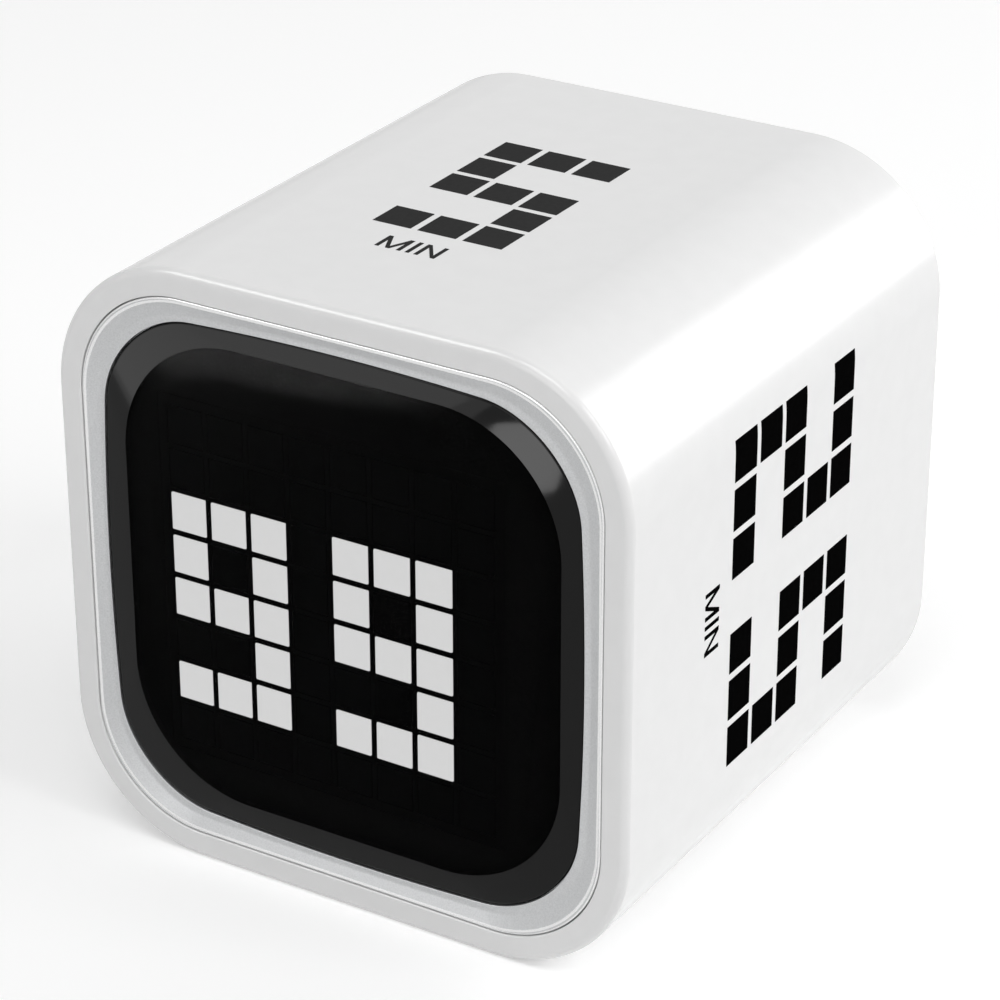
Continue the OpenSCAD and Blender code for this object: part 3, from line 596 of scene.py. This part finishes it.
def piece(
    name: str,
    mesh: bmesh.types.BMesh,
    finishes: list[Finish],
    nodes: list[str],
    body: str = CASE,
) -> bpy.types.Object:
    """Makes a piece of the object from a mesh.

    Args:
        name: Name of the piece.
        mesh: Its finished mesh, which is freed.
        finishes: Finishes, in the order of the faces' material numbers.
        nodes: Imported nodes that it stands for.
        body: Body that it moves with.

    Returns:
        The object.
    """
    for face in mesh.faces:
        face.smooth = True
    for edge in mesh.edges:
        edge.smooth = len(edge.link_faces) == 2 and edge.calc_face_angle() < CREASE_ANGLE
    data = bpy.data.meshes.new(name)
    mesh.to_mesh(data)
    mesh.free()
    obj = bpy.data.objects.new(name, data)
    bpy.context.scene.collection.objects.link(obj)
    for finish in finishes:
        data.materials.append(finish.build())
    normals = obj.modifiers.new("even_normals", "WEIGHTED_NORMAL")
    normals.keep_sharp = True
    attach(obj, body)
    if nodes:
        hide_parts(*nodes)
    LOG.info("%s: %d faces, on %s", name, len(data.polygons), body)
    return obj


class LampShape(Enum):
    """Shape of a lamp's face."""

    SQUARE = "RECTANGLE"
    ROUND = "DISK"


class Mirror(Enum):
    """Part of the window that mirrors a card."""

    EDGE = "edge"
    SHEET = "sheet"


@dataclass(frozen=True)
class Lamp:
    """Softbox that faces the object. Places are in the shared frame."""

    name: str
    place: tuple[float, float, float]
    size: tuple[float, float]
    power: float
    only_mirrored: bool = False


@dataclass(frozen=True)
class Card:
    """Lit card that only one part of the window mirrors."""

    name: str
    mirror: Mirror
    place: tuple[float, float, float]
    size: tuple[float, float]
    glow: float
    shape: LampShape = LampShape.ROUND

    def power(self) -> float:
        """Power in watts that gives the card its glow."""
        share = math.pi / 4 if self.shape is LampShape.ROUND else 1.0
        return self.glow * math.pi * share * self.size[0] * self.size[1] * MM * MM


@dataclass
class Studio:
    """Camera, pale floor and soft light."""

    lens: float = 128.52
    sensor: float = 36.0
    near_clip: float = 10.0
    place: tuple[float, float, float] = (158.729, -260.961, 180.606)
    right: tuple[float, float, float] = (0.85288, 0.52211, -0.00114)
    up: tuple[float, float, float] = (-0.23102, 0.37933, 0.89596)
    floor_half: float = 900.0
    floor_drop: float = 0.02
    floor_colour: str = "#f3f3f3"
    floor_lift: float = 0.32
    ambient: float = 0.3
    # The last lamp is only mirrored, as a bright line along the upper front edge
    lamps: tuple[Lamp, ...] = (
        Lamp("right", (766.0, 0.0, 673.0), (500.0, 500.0), 2.85),
        Lamp("right_rear", (580.0, 760.0, 330.0), (500.0, 750.0), 3.1),
        Lamp("overhead", (100.0, -350.0, 900.0), (500.0, 500.0), 2.4),
        Lamp("front", (-80.0, -945.0, 240.0), (500.0, 500.0), 1.0),
        Lamp("top_edge", (-500.0, -455.0, 800.0), (400.0, 450.0), 2.7, only_mirrored=True),
    )
    mirrored: tuple[Card, ...] = (
        Card("corner_card", Mirror.EDGE, (-28.5, -120.0, 9.5), (19.0, 19.0), 7.0, LampShape.SQUARE),
        Card("edge_disc", Mirror.EDGE, (-60.0, -60.0, 45.0), (82.0, 82.0), 1.0),
        Card("edge_disc_wide", Mirror.EDGE, (-60.0, -61.0, 46.5), (92.0, 92.0), 1.1),
        Card("shoulder_disc", Mirror.SHEET, (-58.0, -60.0, 55.5), (66.0, 66.0), 11.0),
        Card("shoulder_disc_wide", Mirror.SHEET, (-58.0, -61.0, 55.5), (72.0, 72.0), 11.0),
    )

    def camera(self) -> None:
        """Sets the camera to the viewing angle of the photograph."""
        data = bpy.data.cameras.new("photo_camera")
        data.lens = self.lens
        data.sensor_width = self.sensor
        data.clip_start = self.near_clip * MM
        obj = bpy.data.objects.new("photo_camera", data)
        right, up = Vector(self.right), Vector(self.up)
        turn = Matrix((right, up, right.cross(up))).transposed().to_4x4()
        obj.matrix_world = Matrix.Translation(Vector(self.place) * MM) @ turn
        bpy.context.scene.collection.objects.link(obj)
        bpy.context.scene.camera = obj

    def seen(self, tree: bpy.types.NodeTree) -> bpy.types.NodeSocket:
        """Tells whether a ray shows the background: straight, in a reflection or through glass.

        Args:
            tree: Node tree of the background.

        Returns:
            Socket that is one for such a ray.
        """
        path = add_node(tree, "ShaderNodeLightPath")
        names = ("Is Camera Ray", "Is Glossy Ray", "Is Transmission Ray")
        camera, glossy, through = (path.outputs[name] for name in names)
        both = add_node(tree, "ShaderNodeMath", {"operation": "ADD"})
        tree.links.new(camera, both.inputs[0])
        tree.links.new(glossy, both.inputs[1])
        every = add_node(tree, "ShaderNodeMath", {"operation": "ADD", "use_clamp": True})
        tree.links.new(both.outputs["Value"], every.inputs[0])
        tree.links.new(through, every.inputs[1])
        return every.outputs["Value"]

    def floor(self) -> None:
        """Lays the floor, which shows the shadow and is white elsewhere."""
        mesh = bmesh.new()
        bmesh.ops.create_grid(mesh, x_segments=1, y_segments=1, size=self.floor_half * MM)
        data = bpy.data.meshes.new("floor")
        mesh.to_mesh(data)
        mesh.free()
        obj = bpy.data.objects.new("floor", data)
        obj.location.z = -self.floor_drop * MM
        bpy.context.scene.collection.objects.link(obj)
        material = bpy.data.materials.new("studio_paper")
        material.use_nodes = True
        tree = material.node_tree
        tree.nodes.clear()
        paper = add_node(tree, "ShaderNodeBsdfDiffuse", inputs={"Color": linear(self.floor_colour)})
        share = add_node(tree, "ShaderNodeMath", {"operation": "MULTIPLY"})
        share.inputs[1].default_value = self.floor_lift
        tree.links.new(self.seen(tree), share.inputs[0])
        lift = add_node(tree, "ShaderNodeEmission", inputs={"Strength": share.outputs["Value"]})
        both = add_node(tree, "ShaderNodeAddShader")
        tree.links.new(paper.outputs["BSDF"], both.inputs[0])
        tree.links.new(lift.outputs["Emission"], both.inputs[1])
        add_node(tree, "ShaderNodeOutputMaterial", inputs={"Surface": both.outputs["Shader"]})
        data.materials.append(material)

    def room(self) -> None:
        """Surrounds the object with even light that is white where it is seen."""
        world = bpy.data.worlds.new("studio")
        bpy.context.scene.world = world
        world.use_nodes = True
        tree = world.node_tree
        tree.nodes.clear()
        level = add_node(
            tree,
            "ShaderNodeMapRange",
            inputs={"Value": self.seen(tree), "To Min": self.ambient, "To Max": 1.0},
        )
        glow = add_node(
            tree,
            "ShaderNodeBackground",
            inputs={"Color": (1.0, 1.0, 1.0, 1.0), "Strength": level.outputs["Result"]},
        )
        add_node(tree, "ShaderNodeOutputWorld", inputs={"Surface": glow.outputs["Background"]})

    def softbox(
        self,
        name: str,
        place: Vector,
        aim: Vector,
        size: tuple[float, float],
        power: float,
        shape: LampShape = LampShape.SQUARE,
    ) -> bpy.types.Object:
        """Hangs a softbox.

        Args:
            name: Name of the lamp.
            place: Its middle.
            aim: Direction that it faces.
            size: Its width and height.
            power: Its power in watts.
            shape: Its shape.

        Returns:
            The lamp.
        """
        data = bpy.data.lights.new(name, "AREA")
        data.shape = shape.value
        data.size, data.size_y = size[0] * MM, size[1] * MM
        data.energy = power
        obj = bpy.data.objects.new(name, data)
        obj.matrix_world = Matrix.Translation(place) @ aim.to_track_quat("-Z", "Y").to_matrix().to_4x4()
        bpy.context.scene.collection.objects.link(obj)
        return obj

    def cards(self, mirrors: dict[Mirror, bpy.types.Object]) -> None:
        """Stands the cards in front that only the window mirrors, along its upper edge and in one corner.

        Args:
            mirrors: The two parts of the window.
        """
        only = {part: bpy.data.collections.new(f"lit_{part.value}") for part in Mirror}
        for part, obj in mirrors.items():
            only[part].objects.link(obj)
        for card in self.mirrored:
            # Cards in one plane would hide each other, so those of one mirror differ in depth
            x, depth, z = card.place
            place = spot(x, depth, z - HALF)
            back = Vector((0.0, 1.0, 0.0))
            lamp = self.softbox(card.name, place, back, card.size, card.power(), card.shape)
            lamp.light_linking.receiver_collection = only[card.mirror]

    def build(self) -> None:
        """Sets up the whole studio."""
        bpy.context.scene.view_settings.view_transform = "Standard"
        self.camera()
        self.floor()
        self.room()
        for lamp in self.lamps:
            middle = Vector(lamp.place) * MM
            aim = Vector((0.0, 0.0, HALF * MM)) - middle
            hung = self.softbox(lamp.name, middle, aim, lamp.size, lamp.power)
            hung.visible_diffuse = not lamp.only_mirrored


@dataclass
class Sleeve:
    """White outer sleeve with its ledge and screw bosses."""

    radius: float = 14.0
    wall: float = 2.6
    length: float = 60.0
    front_fillet: Fillet = Fillet(0.8, 8)
    rear_fillet: Fillet = Fillet(0.4, 5)
    lip: Fillet = Fillet(0.15, 3)
    ledge: tuple[float, float, float] = (25.2, 3.6, 5.2)
    ledge_root: float = 0.15
    boss_radius: float = 3.2
    boss_sides: int = 48
    boss_place: float = 22.01
    boss_depths: tuple[float, float] = (34.8, 56.8)

    def build(self) -> None:
        """Builds the tube, its ledge and its bosses."""
        inner, inner_radius = HALF - self.wall, self.radius - self.wall
        tube = Loft(steps=FINE_STEPS)
        rings = tube.skin(
            [
                square(HALF, self.radius, 0.0),
                square(HALF, self.radius, self.length),
                square(inner, inner_radius, self.length),
                square(inner, inner_radius, 0.0),
            ],
            closed=True,
        )
        for edges, fillet in zip(rings, (self.front_fillet, self.rear_fillet, self.lip, self.lip)):
            tube.round_over(edges, fillet)
        edge, front, back = self.ledge
        edge_radius = inner_radius - inner + edge
        root, root_radius = inner + self.ledge_root, inner_radius + self.ledge_root
        tube.skin(
            [
                square(root, root_radius, front),
                square(root, root_radius, back),
                square(edge, edge_radius, back),
                square(edge, edge_radius, front),
            ],
            closed=True,
        )
        front, back = self.boss_depths
        for x in (-self.boss_place, self.boss_place):
            for z in (-self.boss_place, self.boss_place):
                self.boss(tube.mesh, spot(x, (front + back) / 2, z), back - front)
        bmesh.ops.recalc_face_normals(tube.mesh, faces=tube.mesh.faces)
        piece("sleeve_shell", tube.mesh, [WHITE_ABS], ["sleeve"])

    def boss(self, mesh: bmesh.types.BMesh, middle: Vector, length: float) -> None:
        """Adds one screw boss.

        Args:
            mesh: Mesh that gets it.
            middle: Its middle.
            length: Its length.
        """
        bmesh.ops.create_cone(
            mesh,
            cap_ends=True,
            segments=self.boss_sides,
            radius1=self.boss_radius * MM,
            radius2=self.boss_radius * MM,
            depth=length * MM,
            matrix=Matrix.Translation(middle) @ Matrix.Rotation(math.pi / 2, 4, "X"),
        )


@dataclass
class Print:
    """Numeral and unit word printed on one of the four long sides."""

    node: str
    turn: int
    finish: Finish
    flat: float = 16.0
    radius: float = 14.0
    pocket: float = 0.2
    foot_share: float = 0.75
    proud: float = 0.02
    reach: float = 1.6
    cuts: int = 5
    sliver: float = 0.005

    def drop(self, across: float) -> float:
        """How far the sleeve falls away under a point beside its flat.

        Args:
            across: Distance of the point from the middle of the side.

        Returns:
            The drop from the flat.
        """
        past = max(abs(across) - self.flat, 0.0)
        return self.radius - math.sqrt(self.radius**2 - past**2)

    def build(self) -> None:
        """Lays the print on the sleeve, round its edges too."""
        mesh = node_copy(self.node)
        middle = Vector((0.0, 0.0, HALF * MM))
        quarter = self.turn * math.pi / 2
        bmesh.ops.rotate(mesh, cent=middle, matrix=Matrix.Rotation(-quarter, 3, "Y"), verts=mesh.verts)
        for side in (-1, 1):
            for i in range(self.cuts):
                across = side * (self.flat + i * self.reach / self.cuts) * MM
                bmesh.ops.bisect_plane(
                    mesh,
                    geom=mesh.verts[:] + mesh.edges[:] + mesh.faces[:],
                    plane_co=(across, 0.0, 0.0),
                    plane_no=(1.0, 0.0, 0.0),
                )
        bmesh.ops.dissolve_degenerate(mesh, dist=self.sliver * MM, edges=mesh.edges)
        foot = 2 * HALF - self.pocket * self.foot_share
        for vert in mesh.verts:
            rise = self.proud if vert.co.z > foot * MM else -self.proud
            vert.co.z = (2 * HALF - self.drop(vert.co.x / MM) + rise) * MM
        bmesh.ops.rotate(mesh, cent=middle, matrix=Matrix.Rotation(quarter, 3, "Y"), verts=mesh.verts)
        piece(self.node.replace("numeral", "print"), mesh, [self.finish], [self.node])


@dataclass
class FrontFrame:
    """Silver frame round the window, with its seat, clips and bosses behind."""

    half: float = 27.32
    radius: float = 11.32
    window: Outline = Outline(24.33, 24.43, radius=9.26, depth=0.0, x=-0.13, z=0.01, bow=1.08)
    crest: float = 0.1
    crest_width: float = 0.3
    trough: float = 0.62
    trough_share: float = 0.72
    lip: float = 0.5
    crest_fillets: tuple[Fillet, Fillet] = (Fillet(0.18, 4), Fillet(0.12, 3))
    trough_fillet: Fillet = Fillet(0.2, 4)
    lip_fillet: Fillet = Fillet(0.08, 3)
    pressed: float = 1.3
    sliver: float = 0.001
    foot: float = 1.8

    def between(self, share: float, depth: float) -> Outline:
        """Outline between the outer edge and the window.

        Args:
            share: Zero at the outer edge, and one at the window.
            depth: Its depth.

        Returns:
            The outline.
        """
        outer, inner = square(self.half, self.radius, depth), replace(self.window, depth=depth)
        return Outline(*(a + (b - a) * share for a, b in zip(astuple(outer), astuple(inner))))

    def build(self) -> None:
        """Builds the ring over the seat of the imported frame, which is pressed back under it."""
        mesh = node_copy("front_bezel")
        for vert in mesh.verts:
            vert.co.y = max(vert.co.y, (self.pressed - HALF) * MM)
        bmesh.ops.dissolve_degenerate(mesh, dist=self.sliver * MM, edges=mesh.edges)
        crest_share = self.crest_width / (self.half - self.window.half_w - self.window.bow)
        ring = Loft(steps=FINE_STEPS, mesh=mesh, cuts=SIDE_CUTS)
        edges = ring.skin(
            [
                self.between(0.0, self.foot),
                self.between(0.0, self.crest),
                self.between(crest_share, self.crest),
                self.between(self.trough_share, self.trough),
                self.between(1.0, self.lip),
                self.between(1.0, self.foot),
            ],
            closed=True,
        )
        finishes = [SILVER, SILVER_EDGE_PAINTED_HIGHLIGHT]
        bright = finishes.index(SILVER_EDGE_PAINTED_HIGHLIGHT)
        # The crest fillets take the paler silver: a painted highlight along the frame's outer edge
        for rim, fillet in zip(edges[1:3], self.crest_fillets):
            ring.round_over(rim, fillet, bright)
        ring.round_over(edges[3], self.trough_fillet)
        ring.round_over(edges[4], self.lip_fillet)
        bmesh.ops.recalc_face_normals(mesh, faces=mesh.faces)
        piece("silver_frame", mesh, finishes, ["front_bezel"])


@dataclass
class Window:
    """Smoked window: a clear middle that bends down to a polished bevel all round."""

    gap: float = 0.06
    back: float = 1.0
    front: float = 0.1
    middle_half_w: float = 22.95
    middle_half_h: float = 23.18
    bevel_fall: float = 0.295
    middle_radius: float = 12.4
    middle_x: float = 0.1
    middle_z: float = 0.37
    slope: float = 0.155
    shoulder: float = 3.15
    shoulder_steps: int = 9
    edge_fillet: Fillet = Fillet(0.25, 5)
    seam: float = 0.01

    def depth(self, inset: float) -> float:
        """Depth of the front face at a distance in from the edge of the clear middle."""
        return self.front + self.slope * (self.shoulder - inset) ** 2 / (2 * self.shoulder)

    def middle(self, inset: float, depth: float) -> Outline:
        """Outline of the clear middle.

        Args:
            inset: Distance in from its edge.
            depth: Its depth.

        Returns:
            The outline.
        """
        half_w, half_h = self.middle_half_w - inset, self.middle_half_h - inset
        return Outline(half_w, half_h, self.middle_radius - inset, depth, self.middle_x, self.middle_z)

    def edge(self, hole: Outline) -> bpy.types.Object:
        """Builds the polished bevel.

        Args:
            hole: Outline of the frame that it sits in.

        Returns:
            The bevel.
        """
        meet = self.depth(0.0)
        ring = Loft(steps=FINE_STEPS, cuts=SIDE_CUTS)
        outer = replace(hole, half_w=hole.half_w - self.gap, half_h=hole.half_h - self.gap)
        edges = ring.skin(
            [
                replace(outer, depth=self.back),
                replace(outer, depth=meet + self.bevel_fall),
                self.middle(0.0, meet),
                self.middle(0.0, self.back),
            ],
            closed=True,
        )
        ring.round_over(edges[1], self.edge_fillet)
        bmesh.ops.recalc_face_normals(ring.mesh, faces=ring.mesh.faces)
        return piece("window_edge", ring.mesh, [WINDOW_RING], [])

    def sheet(self) -> bpy.types.Object:
        """Builds the clear middle from its back to its flat front.

        Returns:
            The clear middle.
        """
        bends = [self.shoulder * i / self.shoulder_steps for i in range(self.shoulder_steps + 1)]
        front = [self.middle(inset + self.seam, self.depth(inset)) for inset in bends]
        sheet = Loft(steps=FINE_STEPS)
        sheet.skin([self.middle(self.seam, self.back), *front])
        bmesh.ops.recalc_face_normals(sheet.mesh, faces=sheet.mesh.faces)
        return piece("smoked_window", sheet.mesh, [WINDOW], ["lens"])


class Digit(Enum):
    """Pixels of a digit, row by row from the top."""

    NINE = ("111", "101", "111", "001", "111")


@dataclass
class Display:
    """Pixels behind the window, with a two-digit time lit."""

    x: float = -1.25
    z: float = -0.9
    rows: int = 8
    pitch: float = 4.38
    pixel: float = 3.71
    corner: float = 0.08
    corner_steps: int = 2
    front: float = 1.05
    sunk: float = 0.1
    web: tuple[float, float] = (3.6, 4.1)
    web_half: float = 19.02
    web_corner: float = 0.4
    web_steps: int = 3
    first_row: int = 2
    digits: tuple[tuple[int, Digit], ...] = ((0, Digit.NINE), (4, Digit.NINE))

    def lit(self, column: int, row: int) -> bool:
        """Tells whether a pixel is lit.

        Args:
            column: Its column from the left.
            row: Its row from the top.

        Returns:
            True if it belongs to a digit.
        """
        for start, digit in self.digits:
            pixels = digit.value
            level, place = row - self.first_row, column - start
            if 0 <= level < len(pixels) and 0 <= place < len(pixels[level]):
                return pixels[level][place] == "1"
        return False

    def build(self) -> None:
        """Builds the web of the light guide and its pads."""
        mesh = bmesh.new()
        web = Loft(self.x, self.z, self.web_steps, mesh)
        web.skin([square(self.web_half, self.web_corner, depth) for depth in self.web])
        start = (self.rows - 1) * self.pitch / 2
        ends = (self.web[0] + self.sunk, self.front)
        for column in range(self.rows):
            for row in range(self.rows):
                known = set(mesh.faces)
                x, z = self.x - start + column * self.pitch, self.z + start - row * self.pitch
                pad = Loft(x, z, self.corner_steps, mesh)
                pad.skin([square(self.pixel / 2, self.corner, depth) for depth in ends])
                for face in set(mesh.faces) - known:
                    face.material_index = int(self.lit(column, row))
        bmesh.ops.recalc_face_normals(mesh, faces=mesh.faces)
        piece("pixel_pads", mesh, [UNLIT, LIT], ["light_guide"])


@dataclass
class RearCover:
    """Recessed rear cover with its screws."""

    face: float = 58.8
    head_top: float = 58.75
    head_rim: float = 1.6
    screw_place: float = 22.01
    opening_fillet: Fillet = Fillet(0.2, 3)
    head_fillet: Fillet = Fillet(0.25, 4)

    def on_rim(self, point: Vector) -> bool:
        """Tells whether a point lies on the rim of a screw head.

        Args:
            point: Point in the shared frame.

        Returns:
            True if it lies there.
        """
        across, up = abs(point.x) / MM - self.screw_place, abs(point.z / MM - HALF) - self.screw_place
        return at_depth(point, self.head_top) and math.hypot(across, up) > self.head_rim

    def build(self) -> None:
        """Softens the openings of the cover and the heads of the screws."""
        cover = node_copy("back_cover")
        soften(cover, self.opening_fillet, lambda point: at_depth(point, self.face))
        piece("rear_cover", cover, [COVER_ABS], ["back_cover"])
        screws = node_copy("cover_screws")
        soften(screws, self.head_fillet, self.on_rim)
        piece("rear_screws", screws, [SCREW_STEEL], ["cover_screws"])


@dataclass
class Button:
    """Push button with a painted symbol."""

    name: str
    x: float
    z: float = 8.0
    top: float = 59.5
    fillet: Fillet = Fillet(0.5, 6)
    symbol: float = 0.2
    symbol_edge: float = 0.02
    symbol_reach: float = 2.4
    rim: float = 3.0

    def out(self, point: Vector) -> float:
        """How far a point lies from the button's axis, across or up."""
        return max(abs(point.x / MM - self.x), abs(point.z / MM - HALF - self.z))

    def on_rim(self, point: Vector) -> bool:
        """Tells whether a point lies on the upper edge of the button."""
        return at_depth(point, self.top) and self.out(point) > self.rim

    def build(self) -> None:
        """Rounds the button over and paints its symbol."""
        cap = node_copy(f"{self.name}_button")
        soften(cap, self.fillet, self.on_rim)
        low, high = self.symbol_edge, self.symbol + self.symbol_edge
        for face in cap.faces:
            middle = face.calc_center_median()
            below = self.top - HALF - middle.y / MM
            face.material_index = int(self.out(middle) < self.symbol_reach and low < below < high)
        piece(
            f"{self.name}_cap",
            cap,
            [BUTTON_ABS, SYMBOL_PAINT],
            [f"{self.name}_button"],
            f"{self.name}_key",
        )


@dataclass
class PowerSlide:
    """Ridged knob of the power switch and the two words beside its slot."""

    top: float = 59.5
    face: float = 58.8
    z: float = -7.0
    words: tuple[tuple[str, float], ...] = (("ON", -5.3), ("OFF", -19.0))
    letter: float = 2.1
    ink: float = 0.012
    fillet: Fillet = Fillet(0.12, 3)

    def build(self) -> None:
        """Softens the knob and prints the words."""
        knob = node_copy("slide_knob")
        soften(knob, self.fillet, lambda point: at_depth(point, self.top))
        piece("power_knob", knob, [KNOB_NYLON], ["slide_knob"], "power_slide")
        for text, x in self.words:
            self.word(text, x)

    def word(self, text: str, x: float) -> None:
        """Prints a word that reads from behind.

        Args:
            text: The word.
            x: Its sideways place.
        """
        curve = bpy.data.curves.new(f"word_{text}", "FONT")
        curve.body = text
        curve.size = self.letter * MM
        curve.align_x = "CENTER"
        curve.align_y = "CENTER"
        curve.extrude = self.ink * MM
        drawn = bpy.data.objects.new(f"word_{text}", curve)
        mesh = bmesh.new()
        flat = bpy.data.meshes.new_from_object(drawn)
        mesh.from_mesh(flat)
        bpy.data.objects.remove(drawn)
        bpy.data.meshes.remove(flat)
        place = (
            Matrix.Translation(spot(x, self.face, self.z))
            @ Matrix.Rotation(math.pi, 4, "Z")
            @ Matrix.Rotation(math.pi / 2, 4, "X")
        )
        bmesh.ops.transform(mesh, matrix=place, verts=mesh.verts)
        piece(f"switch_word_{text.lower()}", mesh, [WORD_INK], [])


@dataclass
class ChargingSocket:
    """Steel shell of the socket and the contacts on its tongue."""

    z: float = -18.0
    mouth: float = 58.5
    mouth_fillet: Fillet = Fillet(0.1, 3)
    tongue_tip: float = 57.2
    tongue_half: float = 0.35
    contacts: int = 12
    contact_pitch: float = 0.5
    contact_width: float = 0.26
    contact_length: float = 3.6
    contact_inset: float = 0.3
    contact_rise: float = 0.02

    def build(self) -> None:
        """Softens the mouth of the shell and lays the contacts."""
        shell = node_copy("usb_shell")
        soften(shell, self.mouth_fillet, lambda point: at_depth(point, self.mouth))
        piece("socket_shell", shell, [SHELL_STEEL], ["usb_shell"])
        strips = bmesh.new()
        depth = self.tongue_tip - self.contact_inset - self.contact_length / 2
        size = Vector((self.contact_width, self.contact_length, 2 * self.contact_rise)) * MM
        for side in (-1, 1):
            for i in range(self.contacts):
                x = (i - (self.contacts - 1) / 2) * self.contact_pitch
                place = Matrix.Translation(spot(x, depth, self.z + side * self.tongue_half))
                bmesh.ops.create_cube(strips, size=1, matrix=place @ Matrix.Diagonal((*size, 1)))
        piece("socket_contacts", strips, [CONTACT_GOLD], [])


@dataclass
class Insides:
    """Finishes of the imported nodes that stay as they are."""

    finishes: dict[str, Finish] = field(
        default_factory=lambda: {
            "lens_tape": WINDOW_TAPE,
            "pixel_mask": BLACK_ABS,
            "reflector_grid": REFLECTOR_PC,
            "led_chips": LED_RESIN,
            "led_board": BOARD,
            "led_connector": CONNECTOR_NYLON,
            "display_screws": SCREW_STEEL,
            "minus_plunger": KNOB_NYLON,
            "start_plunger": KNOB_NYLON,
            "plus_plunger": KNOB_NYLON,
            "tact_switches": BUZZER_PHENOLIC,
            "slide_switch": BUZZER_PHENOLIC,
            "usb_tongue": TONGUE_PLASTIC,
            "buzzer": BUZZER_PHENOLIC,
            "buzzer_gasket": FOAM,
            "main_board": BOARD,
            "board_screws": SCREW_STEEL,
            "board_connector": CONNECTOR_NYLON,
            "mcu": CHIP_EPOXY,
            "motion_sensor": CHIP_EPOXY,
            "charger_chip": CHIP_EPOXY,
            "ribbon_cable": RIBBON,
            "battery": BATTERY_FOIL,
            "battery_tape": BATTERY_TAPE,
            "battery_leads": LEADS,
            "battery_plug": CONNECTOR_NYLON,
            "battery_socket": CONNECTOR_NYLON,
        }
    )

    def build(self) -> None:
        """Dresses each node in its finish."""
        for name, finish in self.finishes.items():
            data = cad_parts[name].data
            data.materials.clear()
            data.materials.append(finish.build())
            LOG.info("%s: packed node in %s", name, finish.name)


def main() -> None:
    """Builds the studio and every sub-assembly."""
    logging.basicConfig(level=logging.INFO, format="%(name)s: %(message)s")
    studio = Studio()
    studio.build()
    Sleeve().build()
    # The top's print takes the charcoal ink, a painted sheen of reflected light
    Print("top_numeral", 0, TOP_INK_PAINTED_SHEEN).build()
    for turn, side in enumerate(("right", "bottom", "left"), 1):
        Print(f"{side}_numeral", turn, SIDE_INK).build()
    bezel = FrontFrame()
    bezel.build()
    window = Window()
    studio.cards({Mirror.EDGE: window.edge(bezel.window), Mirror.SHEET: window.sheet()})
    Display().build()
    RearCover().build()
    for name, x in BUTTONS.items():
        Button(name, x).build()
    PowerSlide().build()
    ChargingSocket().build()
    Insides().build()


if __name__ == "__main__":
    main()
